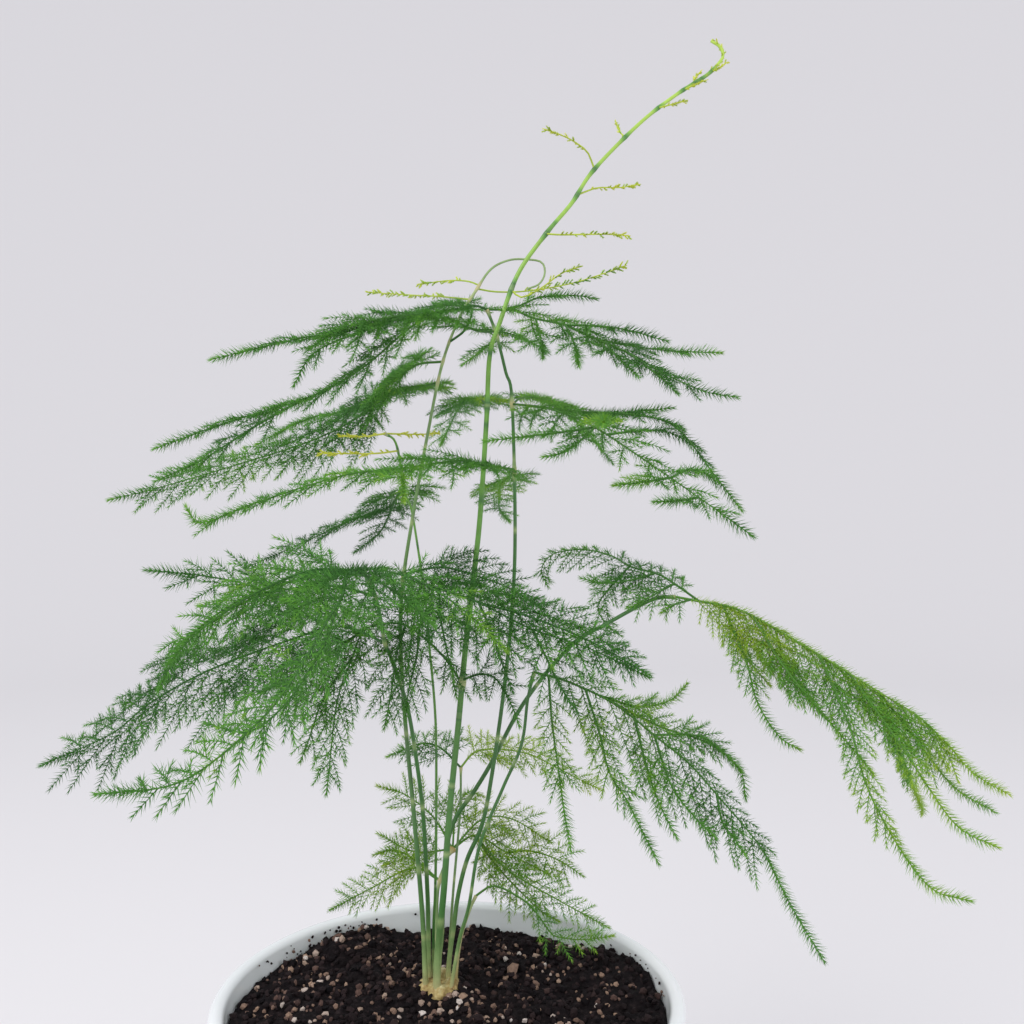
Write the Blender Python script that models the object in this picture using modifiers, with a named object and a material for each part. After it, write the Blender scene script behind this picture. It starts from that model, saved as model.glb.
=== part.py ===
"""A lace fern in a plain white pot, in metres, with +Z up.

The origin is the middle of the pot's underside. Ten leafy stems rise from a knobbly crown
that is sunk in the soil. A stem carries fronds: each has a wiry axis, side branches that
alternate along it, and rings of needles along the side branches.
"""
import math
import random
from collections import namedtuple

import bmesh
import bpy
from mathutils import Matrix, Vector, noise

MM = 0.001
GAP = 0.3 * MM
OBJECT_NAME = "potted_lace_fern"

# Pot
POT_HEIGHT = 140 * MM
POT_RIM_RADIUS = 75 * MM
POT_FOOT_RADIUS = 54 * MM
POT_WALL = 5 * MM
POT_FLOOR = 7 * MM
POT_FOOT_ROUNDING = 4 * MM
POT_STEPS = 36

# Soil
SOIL_WALL_HEIGHT = 133.5 * MM
SOIL_MOUND = 0.8 * MM
SOIL_DIP = 4 * MM
SOIL_HEAPS = ((-40, 50, 5), (60, 30, 3.5))
SOIL_HEAP_WIDTH = 17 * MM
SOIL_CRUMB_HEIGHT = 2.2 * MM
SOIL_CRUMB_SIZE = 9 * MM
SOIL_RINGS = 6
SOIL_STEPS = 28

# Crown: centre and radii of each lump, in mm
CROWN_LUMPS = (
    ((-3.8, 10.8, 130.0), (7.4, 8.8, 8.0)),
    ((-7.6, 9.4, 134.4), (4.2, 5.0, 4.2)),
    ((-4.2, 5.6, 134.2), (4.2, 3.8, 4.6)),
    ((0.0, 9.0, 134.4), (3.8, 5.0, 4.6)),
    ((-4.0, 14.8, 134.6), (4.8, 4.4, 4.8)),
)
STEM_FOOT = 134.0

# Stems and needles
STEM_SPAN = 22 * MM
STEM_BEND = math.radians(14)
AXIS_SPAN = 24 * MM
AXIS_BEND = math.radians(30)
AXIS_RADIUS = 0.6 * MM
AXIS_TIP_RADIUS = 0.35 * MM
TWIG_RADIUS = 0.42 * MM
NEEDLE_LENGTH = 4.8 * MM
PLUME_NEEDLE_LENGTH = 6.5 * MM
NEEDLE_RADIUS = 0.2 * MM
BUD_LENGTH = 2.0 * MM
RING_SPACING = 19 * MM
BUD_SPACING = 9 * MM
SIDE_SPACING = 30 * MM
FAN_REACH = 13
PLAIN_TIP = 12 * MM
BRANCH_STEP = 4 * MM
BRANCH_TURN = 0.1
SUNK_ROOT = 1.5 * MM
RING_WIDTH = 0.9 * MM
TIP_LENGTH = 2.2 * MM
ROOT_LENGTH = 2 * MM
LONG_ROOT = 50 * MM
AXIS_SECTION_ROOM = 0.4 * MM
SIDE_SECTION_ROOM = 7.5 * MM
NEEDLE_LEAN = 0.75
CLEARANCE = 0.45 * MM
FOLIAGE_FLOOR = 142 * MM
UP = Vector((0, 0, 1))

Stem = namedtuple("Stem", "colour foot_radius tip_radius points")
Frond = namedtuple("Frond", "stem reach points bare young hang fall rise back spread",
                   defaults=(7, False, 0.035, 25, 25, 1, 62))

# Stems: colour, radius at the foot and at the tip, and the points they pass, in mm
STEMS = {
    "stem_left": Stem("green", 0.85, 0.4, (
        (-8.2, 7.5, STEM_FOOT), (-8.6, 7.2, 142), (-9, 7, 153), (-10, 6, 169), (-12, 3, 196),
        (-15, -2, 237), (-15, -6, 265), (-11, -9, 292), (-6, -10, 319), (-2, -6, 340),
        (3, 2, 356), (8, 5, 365), (13, 8, 373), (19, 12, 377), (25, 15, 378), (30, 15, 377),
        (31, 14, 373), (29, 12, 369), (25, 10, 367))),
    "stem_near": Stem("green", 0.8, 0.5, (
        (-7.6, 11, STEM_FOOT), (-7.8, 11, 152), (-8, 9, 168), (-9, 3, 196), (-11, -5, 219),
        (-13, -11, 234), (-17, -18, 249), (-18, -24, 254), (-18, -42, 268), (-18, -68, 278))),
    "stem_thin": Stem("pale_green", 0.5, 0.35, (
        (-6.4, 13.4, STEM_FOOT), (-6.2, 13, 155), (-5.6, 12, 167), (-5, 8, 194), (-5, 5, 225),
        (-7, 3, 251), (-8, 2, 264), (-12, 0, 292), (-14, -3, 299), (-16, -11, 314),
        (-19, -16, 317))),
    "stem_new": Stem("bright_green", 1.15, 0.4, (
        (-4.6, 4.8, STEM_FOOT), (-4.5, 4.4, 145), (-4, 4, 152), (-2, 1, 171), (0, -1, 197),
        (3, -4, 226), (5, -6, 247), (8, -8, 273), (10, -8, 292), (12, -8, 322), (13, -8, 342),
        (16, -8, 352), (22, -8, 368), (31, -7, 381), (39, -5, 391), (46, -3, 402),
        (61, 0, 418), (73, 2, 428), (83, 4, 435), (87, 5, 439), (89, 5, 442), (88, 5, 445),
        (85, 5, 447))),
    "stem_back": Stem("green", 0.5, 0.4, (
        (-1.8, 15.2, STEM_FOOT), (-1, 17, 148), (0, 19, 164), (2, 25, 189), (2, 31, 203))),
    "stem_arch": Stem("green", 0.85, 0.6, (
        (-4.8, 9.2, STEM_FOOT), (-4.2, 11.5, 145), (-3.5, 13.5, 152), (-3, 14, 166),
        (-2, 14.5, 180), (1, 14.5, 190), (7, 13.5, 199), (13, 12.5, 209), (24, 9, 230),
        (39, 5, 249), (51, 2, 257), (65, -2, 265), (72, -4, 266))),
    "stem_centre": Stem("green", 0.8, 0.5, (
        (-1.6, 11.8, STEM_FOOT), (-0.8, 12.3, 145), (0.5, 12.8, 154), (2, 12.5, 165),
        (5, 12, 177), (10, 10.5, 189), (13, 8.5, 204), (17, 5, 232), (20, 2, 261),
        (21, 0, 288), (20, 0, 329), (18, 0, 338), (15, 0, 350), (12, -1, 358))),
    "stem_right": Stem("green", 0.6, 0.5, (
        (-0.4, 6, STEM_FOOT), (1, 5.5, 143), (3, 5, 154), (6, 4, 165), (9.5, 2, 185),
        (17, 0, 204), (23, -4, 219), (25, -6, 234), (27, -10, 243))),
    "stem_low": Stem("tan", 0.85, 0.5, (
        (0.8, 9.4, STEM_FOOT), (1.8, 8.6, 145), (3.4, 8.6, 154), (6, 11, 161), (8, 12, 165))),
    "stem_behind": Stem("green", 0.6, 0.45, (
        (-5, 17, STEM_FOOT), (-6, 20, 143), (-6, 22, 149), (-5.5, 25, 163), (-3, 29, 171),
        (-1, 32, 174))),
}

# Fronds: stem, reach of the side branches, and the points that the axis passes, in mm.
# Bare is the length before the first branch, hang is how fast branches droop, and fall and
# rise are the slopes of the frond's near and far side, in degrees.
FRONDS = (
    Frond("stem_left", 28, ((-2, -6, 340), (-11, -2, 340), (-20, 4, 335), (-30, 8, 325),
                            (-45, 8, 317), (-65, 5, 310), (-93, 0, 301), (-108, -3, 297))),
    Frond("stem_left", 22, ((-3, -8, 334), (-10, 5, 334), (-15, 15, 334), (-24, 25, 333),
                            (-38, 35, 329), (-54, 42, 327), (-74, 48, 318)), fall=16, rise=16),
    Frond("stem_left", 14, ((1, -4, 347), (5, -3, 351), (7, 2, 358), (4, 8, 362), (-4, 14, 362),
                            (-13, 20, 361), (-24, 24, 359), (-33, 26, 356)), bare=16),
    Frond("stem_left", 10, ((5, -3, 351), (9, 2, 352), (13, 8, 353), (23, 16, 352),
                            (32, 22, 348))),
    Frond("stem_left", 28, ((-15, -7, 272), (-2, -22, 270), (11, -38, 267), (25, -48, 261),
                            (41, -52, 256), (57, -50, 248)), hang=0.07, fall=45, rise=45),
    Frond("stem_left", 20, ((-15, -7, 273), (-2, -14, 276), (8, -18, 274), (19, -20, 270),
                            (29, -22, 264)), hang=0.06, fall=45, rise=45),
    Frond("stem_left", 12, ((11, -38, 267), (14, -44, 260), (17, -47, 252), (20, -48, 244)),
                            hang=0.06, fall=40, rise=40),
    Frond("stem_left", 12, ((25, -48, 261), (29, -52, 254), (33, -54, 246), (37, -54, 240)),
                            hang=0.06, fall=40, rise=40),
    Frond("stem_left", 12, ((-2, -22, 270), (-1, -28, 262), (1, -32, 253), (3, -34, 245)),
                            hang=0.06, fall=40, rise=40),
    Frond("stem_left", 12, ((-8, -14, 274), (-9, -20, 264), (-10, -23, 255), (-11, -24, 247)),
                            hang=0.06, fall=40, rise=40),
    Frond("stem_left", 12, ((11, -38, 267), (25, -46, 264), (41, -51, 258), (57, -51, 249)),
                            bare=4, fall=45, rise=45),
    Frond("stem_left", 5, ((9, 6, 366), (15, 10, 366), (25, 18, 368), (39, 26, 372),
                           (50, 30, 376), (60, 32, 380)), bare=20, young=True),
    Frond("stem_left", 4, ((9, 6, 367), (5, 12, 370), (-2, 20, 372), (-13, 30, 373)), bare=12,
                           young=True),
    Frond("stem_left", 4, ((6, 5, 363), (-5, 22, 367), (-15, 34, 370), (-33, 48, 374)), bare=18,
                           young=True),
    Frond("stem_near", 20, ((-18, -68, 278), (-18, -92, 279), (-17, -106, 275), (-19, -114, 270),
                            (-26, -121, 257), (-34, -122, 248), (-49, -118, 237),
                            (-68, -112, 233)), hang=0.05, fall=40, rise=40),
    Frond("stem_near", 38, ((-18, -24, 254), (-31, -25, 259), (-46, -26, 255), (-70, -26, 246),
                            (-88, -24, 236), (-101, -21, 226), (-123, -18, 216)), hang=0.05,
                            fall=40, rise=40),
    Frond("stem_near", 22, ((-34, -25, 258), (-51, -40, 271), (-64, -45, 275), (-80, -48, 277)),
                            fall=30, rise=30),
    Frond("stem_near", 22, ((-18, -68, 278), (-34, -80, 276), (-45, -84, 272), (-57, -86, 263),
                            (-64, -86, 251)), hang=0.05, fall=40, rise=40),
    Frond("stem_near", 16, ((-17, -106, 275), (-23, -100, 262), (-31, -96, 250), (-41, -92, 242),
                            (-52, -88, 243)), fall=40, rise=40),
    Frond("stem_near", 18, ((-18, -45, 270), (-30, -52, 273), (-46, -58, 271), (-60, -60, 264),
                            (-70, -60, 256)), hang=0.05, fall=40, rise=40),
    Frond("stem_near", 16, ((-18, -80, 279), (-28, -86, 279), (-40, -90, 274), (-52, -91, 266),
                            (-60, -91, 258)), hang=0.05, fall=40, rise=40),
    Frond("stem_near", 16, ((-18, -58, 275), (-10, -62, 277), (0, -66, 273), (10, -68, 266),
                            (18, -68, 258)), hang=0.05, fall=40, rise=40),
    Frond("stem_near", 12, ((-18, -92, 279), (-12, -96, 278), (-5, -99, 274), (2, -100, 268)),
                            hang=0.05, fall=40, rise=40),
    Frond("stem_thin", 20, ((-14, -3, 302), (-18, 15, 299), (-25, 35, 294), (-40, 50, 290),
                            (-51, 55, 285), (-67, 60, 278), (-81, 62, 272))),
    Frond("stem_thin", 14, ((-22, 25, 296), (-28, 45, 286), (-39, 55, 278))),
    Frond("stem_thin", 4, ((-19, -16, 317), (-25, -18, 316), (-32, -20, 316)), bare=2,
                           young=True),
    Frond("stem_thin", 4, ((-19, -16, 317), (-10, 0, 318), (-4, 8, 319)), bare=6, young=True),
    Frond("stem_thin", 4, ((-16, -12, 311), (-23, -14, 311), (-39, -16, 311)), bare=3,
                           young=True),
    Frond("stem_new", 24, ((3, -5, 239), (-1, -8, 247), (-11, -13, 257), (-18, -16, 259),
                           (-25, -19, 257), (-28, -23, 249), (-32, -25, 237), (-34, -26, 219),
                           (-35, -26, 210)), bare=18, hang=0.09, fall=60, rise=60, spread=46),
    Frond("stem_new", 15, ((-28, -23, 249), (-36, -24, 238), (-41, -24, 224), (-43, -24, 219)),
                           hang=0.09, fall=60, rise=60, spread=46),
    Frond("stem_new", 10, ((4, -5, 240), (10, -14, 243), (15, -22, 243), (19, -28, 238),
                           (22, -30, 231)), fall=60, rise=60),
    Frond("stem_new", 24, ((12, -8, 327), (9, 15, 331), (4, 40, 333), (-1, 65, 332),
                           (-6, 85, 326), (-10, 100, 321)), bare=20, fall=36, rise=36),
    Frond("stem_new", 12, ((-14, -14, 258), (-15, -20, 250), (-16, -23, 240), (-18, -24, 229)),
                           bare=3, hang=0.06, fall=60, rise=60, spread=46),
    Frond("stem_new", 12, ((-8, -12, 256), (-9, -18, 249), (-11, -21, 240), (-12, -22, 231)),
                           bare=3, hang=0.06, fall=60, rise=60, spread=46),
    Frond("stem_new", 10, ((-1, -8, 249), (1, -12, 246), (2, -16, 241), (3, -18, 237)), bare=3,
                           hang=0.06, fall=60, rise=60, spread=46),
    Frond("stem_new", 13, ((-24, -19, 257), (-34, -22, 251), (-43, -24, 242), (-45, -24, 232)),
                           bare=3, hang=0.06, fall=60, rise=60, spread=46),
    Frond("stem_new", 3, ((20, -8, 362), (23, -10, 360), (29, -14, 362), (35, -16, 366),
                          (41, -17, 368)), young=True),
    Frond("stem_new", 3, ((31, -7, 380), (35, -12, 379), (42, -16, 378), (49, -20, 377),
                          (55, -22, 376)), young=True),
    Frond("stem_new", 3, ((41, -5, 394), (43, -3, 395), (48, 2, 398), (55, 5, 399), (62, 8, 401)),
                          young=True),
    Frond("stem_new", 3, ((46, -3, 403), (44, -5, 407), (40, -8, 409), (36, -11, 410),
                          (30, -14, 411)), young=True),
    Frond("stem_new", 2, ((56, -1, 413), (55, 4, 417), (54, 6, 421)), bare=2, young=True),
    Frond("stem_new", 2, ((67, 1, 423), (71, -3, 423), (75, -6, 423)), bare=2, young=True),
    Frond("stem_new", 3, ((82, 4, 434), (86, 5, 438), (88.5, 5, 441), (89, 5, 444), (86, 5, 447)),
                          bare=1, young=True),
    Frond("stem_new", 2, ((75, 3, 429.5), (79, 1, 431), (82.5, 0, 432)), bare=1, young=True),
    Frond("stem_new", 2, ((79, 3.5, 432), (80, 5, 435), (82, 6, 437.5)), bare=1, young=True),
    Frond("stem_new", 2, ((84.5, 4, 436.5), (87, 3, 437), (89.5, 2, 438.5)), bare=1, young=True),
    Frond("stem_back", 15, ((2, 31, 203), (-6, 40, 208), (-14, 46, 208), (-26, 52, 202)), fall=40,
                            rise=40),
    Frond("stem_back", 15, ((2, 31, 203), (7, 38, 207), (16, 46, 206), (27, 50, 203),
                            (40, 52, 196), (53, 54, 189)), fall=40, rise=40),
    Frond("stem_arch", 30, ((72, -4, 266), (78, -6, 265), (92, -10, 262), (111, -18, 251),
                            (130, -24, 239), (141, -26, 232), (149, -27, 224), (156, -28, 216),
                            (166, -28, 210)), hang=0.08, fall=65, rise=-15, back=0.35, spread=42),
    Frond("stem_arch", 8, ((109, -20, 245), (118, -32, 231), (121, -38, 215), (128, -42, 200),
                           (137, -44, 188), (147, -45, 185)), hang=0.06, fall=55, rise=30,
                           spread=42),
    Frond("stem_arch", 8, ((120, -23, 244), (133, -33, 225), (139, -38, 214), (146, -41, 204),
                           (156, -42, 199)), fall=55, rise=30, spread=42),
    Frond("stem_arch", 8, ((130, -24, 239), (143, -20, 223), (155, -17, 209), (168, -15, 201)),
                           fall=55, rise=30, spread=42),
    Frond("stem_arch", 8, ((86, -8, 263), (92, -15, 247), (95, -16, 235), (101, -18, 225),
                           (107, -18, 221)), fall=55, rise=30, spread=42),
    Frond("stem_arch", 17, ((78, -6, 265), (72, -2, 270), (67, 2, 273), (59, 8, 275),
                            (54, 12, 278), (47, 16, 280), (40, 20, 280), (33, 22, 278),
                            (30, 22, 273), (32, 21, 268)), hang=0.09, fall=60, rise=20,
                            back=0.65),
    Frond("stem_arch", 8, ((95, -11, 260), (101, -20, 248), (108, -26, 238), (116, -30, 228),
                           (124, -33, 218)), hang=0.05, fall=55, rise=30, spread=42),
    Frond("stem_arch", 8, ((86, -8, 263), (90, -6, 255), (95, -4, 246), (102, -3, 238)),
                           hang=0.05, fall=55, rise=30, spread=42),
    Frond("stem_arch", 8, ((100, -14, 257), (104, -12, 248), (110, -10, 238), (118, -8, 229)),
                           hang=0.05, fall=55, rise=30, spread=42),
    Frond("stem_arch", 8, ((118, -21, 247), (128, -16, 237), (137, -12, 227), (146, -8, 218)),
                           hang=0.05, fall=55, rise=30, spread=42),
    Frond("stem_arch", 8, ((130, -24, 239), (140, -10, 222), (150, 5, 206), (158, 16, 194),
                           (160, 20, 190)), hang=0.05, fall=55, rise=30, spread=42),
    Frond("stem_arch", 11, ((67, 2, 273), (58, 0, 271), (50, 0, 270), (43, 1, 271.5)), bare=3,
                            hang=0.05, fall=60, rise=20),
    Frond("stem_arch", 9, ((72, -2, 270), (67, -6, 268), (61, -8, 265), (57, -8, 263)), bare=3,
                           hang=0.05, fall=60, rise=20),
    Frond("stem_arch", 7, ((76, -5, 266), (71, -9, 264), (67, -11, 262)), bare=3, fall=60,
                           rise=20),
    Frond("stem_arch", 7, ((59, 8, 275), (52, 6, 268), (48, 5, 262), (51, 4, 256), (55, 4, 253)),
                           bare=3, fall=60, rise=20),
    Frond("stem_centre", 22, ((12, -1, 358), (8, -7, 358), (1, -14, 355), (-13, -25, 351),
                              (-30, -32, 345), (-41, -35, 343), (-66, -35, 337)), bare=10,
                              fall=14, rise=14),
    Frond("stem_centre", 22, ((14, 0, 351), (9, -8, 350), (-1, -18, 352), (-9, -24, 349),
                              (-24, -30, 335), (-40, -32, 326), (-64, -30, 319), (-86, -25, 312)),
                              bare=12, fall=14, rise=14),
    Frond("stem_centre", 12, ((-40, -32, 326), (-53, -36, 318), (-68, -38, 308), (-81, -38, 302)),
                              fall=14, rise=14),
    Frond("stem_centre", 22, ((20, 0, 306), (12, -22, 307), (5, -32, 308), (-11, -46, 305),
                              (-26, -50, 303), (-49, -48, 296), (-67, -42, 290), (-72, -40, 294)),
                              bare=18, fall=16, rise=16),
    Frond("stem_centre", 20, ((20, 0, 305), (19, 20, 305), (16, 45, 303), (15, 70, 299),
                              (15, 90, 294), (19, 105, 289)), bare=20, fall=36, rise=36),
    Frond("stem_centre", 20, ((20, 0, 328), (24, 18, 332), (32, 38, 333), (40, 58, 331),
                              (51, 75, 323), (61, 88, 313)), bare=20, fall=36, rise=36),
    Frond("stem_centre", 22, ((20, 0, 328), (27, -10, 326), (33, -18, 324), (44, -30, 318),
                              (63, -47, 303), (73, -54, 295), (83, -60, 287)), bare=10,
                              hang=0.045, fall=16, rise=16),
    Frond("stem_centre", 10, ((27, -10, 326), (40, -12, 324), (48, -14, 323), (58, -14, 324),
                              (69, -14, 325)), fall=12, rise=12),
    Frond("stem_centre", 10, ((40, -14, 324), (57, -24, 322), (69, -25, 318), (81, -25, 303),
                              (88, -25, 294)), fall=12, rise=12),
    Frond("stem_centre", 22, ((12, -1, 358), (21, -4, 357), (27, -7, 354), (37, -11, 351),
                              (48, -16, 345), (56, -19, 341), (67, -22, 334), (77, -25, 329),
                              (86, -27, 327)), fall=16, rise=16),
    Frond("stem_centre", 11, ((16, -2, 358), (23, 2, 360), (29, 4, 363), (40, 6, 364),
                              (47, 6, 363)), fall=14, rise=14),
    Frond("stem_centre", 11, ((37, -11, 352), (48, -8, 347), (66, -8, 344), (85, -8, 343)),
                              fall=14, rise=14),
    Frond("stem_centre", 12, ((15, 0, 350), (13, 9, 349), (9, 17, 347), (3, 24, 344))),
    Frond("stem_centre", 8, ((44, -30, 318), (36, -38, 316), (26, -42, 314.5), (13, -42, 313)),
                             fall=10, rise=10),
    Frond("stem_centre", 8, ((44, -30, 318), (38, -44, 312), (33, -50, 309), (29, -52, 308)),
                             fall=10, rise=10),
    Frond("stem_centre", 8, ((63, -47, 303), (55, -56, 301), (47, -62, 300)), bare=3, fall=10,
                             rise=10),
    Frond("stem_centre", 8, ((70, -52, 297), (64, -60, 296), (57, -66, 295.6)), bare=3, fall=10,
                             rise=10),
    Frond("stem_centre", 8, ((48, -33, 315), (58, -28, 317), (66, -24, 317), (73, -22, 314)),
                             fall=10, rise=10),
    Frond("stem_centre", 8, ((63, -47, 303), (70, -40, 305), (76, -34, 304), (80, -30, 302)),
                             fall=10, rise=10),
    Frond("stem_centre", 7, ((44, -30, 318), (44, -50, 318), (43, -70, 316), (42, -85, 314.5)),
                             bare=16),
    Frond("stem_centre", 9, ((37, -11, 351), (46, -16, 350), (55, -20, 348), (66, -22, 344.5)),
                             fall=14, rise=14),
    Frond("stem_centre", 9, ((27, -7, 354), (28, -14, 349), (29, -24, 343), (29, -32, 338)),
                             fall=14, rise=14),
    Frond("stem_centre", 9, ((37, -11, 351), (38, -20, 346), (39, -29, 340), (39, -36, 335)),
                             fall=14, rise=14),
    Frond("stem_centre", 9, ((48, -16, 345), (50, -24, 341), (53, -31, 336), (56, -36, 332)),
                             fall=14, rise=14),
    Frond("stem_centre", 9, ((56, -19, 341), (60, -27, 336), (64, -34, 331), (67, -38, 327)),
                             fall=14, rise=14),
    Frond("stem_centre", 13, ((-13, -25, 351), (-24, -34, 345), (-36, -40, 338),
                              (-41, -42, 329))),
    Frond("stem_centre", 13, ((-8, -20, 352), (-18, -28, 350), (-28, -34, 346), (-38, -36, 340))),
    Frond("stem_centre", 9, ((-11, -46, 305), (-9, -62, 304), (-7, -76, 301), (-6, -84, 296)),
                             bare=14),
    Frond("stem_right", 34, ((27, -10, 243), (37, -15, 241), (51, -20, 235), (63, -24, 226),
                             (73, -26, 218), (81, -28, 209), (88, -29, 201), (94, -30, 193),
                             (101, -30, 179), (111, -30, 162)), hang=0.09, fall=70, rise=35,
                             back=0.4, spread=46),
    Frond("stem_right", 8, ((31, -12, 243), (32, -24, 230), (34, -30, 215), (35, -32, 207),
                            (37, -32, 195)), hang=0.06, fall=60, rise=60, spread=46),
    Frond("stem_right", 8, ((47, -19, 237), (59, -14, 233), (70, -8, 234), (75, -5, 238)),
                            fall=60, rise=60, spread=46),
    Frond("stem_right", 8, ((43, -18, 239), (46, -28, 227), (48, -34, 218), (53, -34, 210),
                            (57, -34, 202), (62, -34, 192)), hang=0.06, fall=60, rise=60,
                            spread=46),
    Frond("stem_right", 8, ((63, -24, 226), (66, -34, 214), (72, -36, 206), (78, -36, 200)),
                            hang=0.06, fall=60, rise=60, spread=46),
    Frond("stem_right", 8, ((51, -20, 235), (66, -16, 227), (80, -14, 222), (90, -14, 214),
                            (92, -14, 205)), fall=60, rise=60, spread=46),
    Frond("stem_right", 8, ((57, -22, 230), (59, -30, 220), (62, -34, 210), (67, -36, 200)),
                            hang=0.06, fall=60, rise=60, spread=46),
    Frond("stem_right", 8, ((81, -28, 209), (81, -33, 203), (84, -36, 199), (86, -38, 196)),
                            bare=3, hang=0.06, fall=60, rise=60, spread=46),
    Frond("stem_right", 8, ((63, -24, 226), (76, -18, 225), (84, -16, 220), (90, -16, 214)),
                            fall=60, rise=60, spread=46),
    Frond("stem_low", 10, ((8, 12, 165), (14, 13, 168), (23, 15, 163), (28, 16, 158),
                           (33, 16, 151), (36, 16, 149.5), (44, 14, 149.5), (53, 12, 151.5)),
                           bare=26),
    Frond("stem_behind", 17, ((-1, 32, 174), (7, 38, 177), (17, 42, 170), (33, 44, 161)), fall=50,
                              rise=50),
    Frond("stem_behind", 14, ((7, 38, 177), (19, 30, 167), (37, 28, 157), (53, 26, 149)), fall=50,
                              rise=50),
    Frond("stem_behind", 14, ((-5, 25, 165), (-15, 30, 168), (-30, 32, 160), (-44, 34, 152)),
                              fall=50, rise=50),
    Frond("stem_behind", 12, ((-1, 32, 174), (-15, 38, 171), (-28, 42, 176)), fall=50, rise=50),
    Frond("stem_behind", 11, ((-1, 32, 174), (-8, 36, 184), (-18, 39, 191), (-28, 40, 194)),
                              fall=50, rise=50),
    Frond("stem_behind", 10, ((-5, 25, 165), (-14, 32, 170), (-22, 37, 172), (-29, 38, 170)),
                              fall=50, rise=50),
    Frond("stem_behind", 11, ((7, 38, 177), (14, 34, 168), (22, 32, 160), (30, 30, 153),
                              (36, 30, 149.5)), fall=50, rise=50),
    Frond("stem_behind", 11, ((17, 42, 170), (27, 42, 170), (37, 41, 167), (45, 40, 162)),
                              fall=50, rise=50),
    Frond("stem_behind", 11, ((-1, 32, 174), (9, 40, 182), (20, 44, 181), (34, 46, 172)), fall=50,
                              rise=50),
    Frond("stem_behind", 9, ((-1, 32, 174), (0, 37, 186), (4, 40, 192), (9, 42, 190)), fall=50,
                             rise=50),
)

# Colour, roughness
MATERIALS = {
    "white_glaze": ((0.86, 0.88, 0.90), 0.25),
    "soil": ((0.035, 0.022, 0.018), 0.95),
    "tan": ((0.55, 0.42, 0.16), 0.75),
    "green": ((0.06, 0.22, 0.05), 0.6),
    "pale_green": ((0.12, 0.30, 0.06), 0.6),
    "bright_green": ((0.18, 0.42, 0.05), 0.55),
}


def clear_scene():
    for item in list(bpy.data.objects):
        bpy.data.objects.remove(item)


def new_collection(name):
    collection = bpy.data.collections.new(name)
    bpy.context.scene.collection.children.link(collection)
    return collection


def material(name):
    """The named finish, made once."""
    found = bpy.data.materials.get(name)
    if found:
        return found
    colour, roughness = MATERIALS[name]
    made = bpy.data.materials.new(name)
    made.use_nodes = True
    shader = made.node_tree.nodes["Principled BSDF"]
    shader.inputs["Base Color"].default_value = (*colour, 1)
    shader.inputs["Roughness"].default_value = roughness
    shader.inputs["Metallic"].default_value = 0
    return made


def new_object(name, mesh, collection, finish=None):
    made = bpy.data.objects.new(name, mesh)
    collection.objects.link(made)
    if finish:
        mesh.materials.clear()
        mesh.materials.append(material(finish))
    return made


def mesh_from(bm, name):
    mesh = bpy.data.meshes.new(name)
    bm.to_mesh(mesh)
    bm.free()
    return mesh


def arc(centre_x, centre_z, radius, start, end, pieces):
    """Points on an arc in the XZ plane, angles in degrees."""
    points = []
    for step in range(pieces + 1):
        angle = math.radians(start + (end - start) * step / pieces)
        points.append((centre_x + radius * math.cos(angle), centre_z + radius * math.sin(angle)))
    return points


def turned_object(name, profile, collection, steps, finish=None):
    """A body turned about Z from a profile of (radius, height) that starts and ends on it."""
    mesh = bpy.data.meshes.new(name)
    points = [(radius, 0, height) for radius, height in profile]
    edges = [(i, i + 1) for i in range(len(points) - 1)]
    mesh.from_pydata(points, edges, [])
    made = new_object(name, mesh, collection, finish)
    screw = made.modifiers.new("turn", "SCREW")
    screw.axis = "Z"
    screw.steps = steps
    screw.render_steps = steps
    screw.use_merge_vertices = True
    screw.merge_threshold = 0.00005
    screw.use_smooth_shade = True
    return made


def inner_radius(height):
    """The pot's inside radius at a height."""
    share = height / POT_HEIGHT
    return POT_FOOT_RADIUS + (POT_RIM_RADIUS - POT_FOOT_RADIUS) * share - POT_WALL


def make_pot(collection):
    half_wall = POT_WALL / 2
    rim_height = POT_HEIGHT - half_wall
    rim = arc(POT_RIM_RADIUS - half_wall, rim_height, half_wall, 180, 0, 6)
    foot = arc(POT_FOOT_RADIUS - POT_FOOT_ROUNDING, POT_FOOT_ROUNDING, POT_FOOT_ROUNDING,
               0, -90, 3)
    profile = [(0, POT_FLOOR), (inner_radius(POT_FLOOR), POT_FLOOR)] + rim + foot + [(0, 0)]
    return turned_object("pot", profile, collection, POT_STEPS, "white_glaze")


def soil_height(x, y):
    """Height of the soil's top: crumbly, lower towards the back wall, with two heaps there."""
    distance = math.hypot(x, y) / inner_radius(SOIL_WALL_HEIGHT)
    mound = SOIL_MOUND * math.cos(min(distance, 1) * math.pi / 2)
    dip = SOIL_DIP * max(y, 0) / POT_RIM_RADIUS * distance
    heaps = 0
    for heap_x, heap_y, height in SOIL_HEAPS:
        away = math.hypot(x - heap_x * MM, y - heap_y * MM) / SOIL_HEAP_WIDTH
        heaps += height * MM * math.exp(-away ** 2)
    place = Vector((x, y, 0)) / SOIL_CRUMB_SIZE
    crumbs = SOIL_CRUMB_HEIGHT * noise.noise(place)
    return SOIL_WALL_HEIGHT + mound - dip + heaps + crumbs


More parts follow.
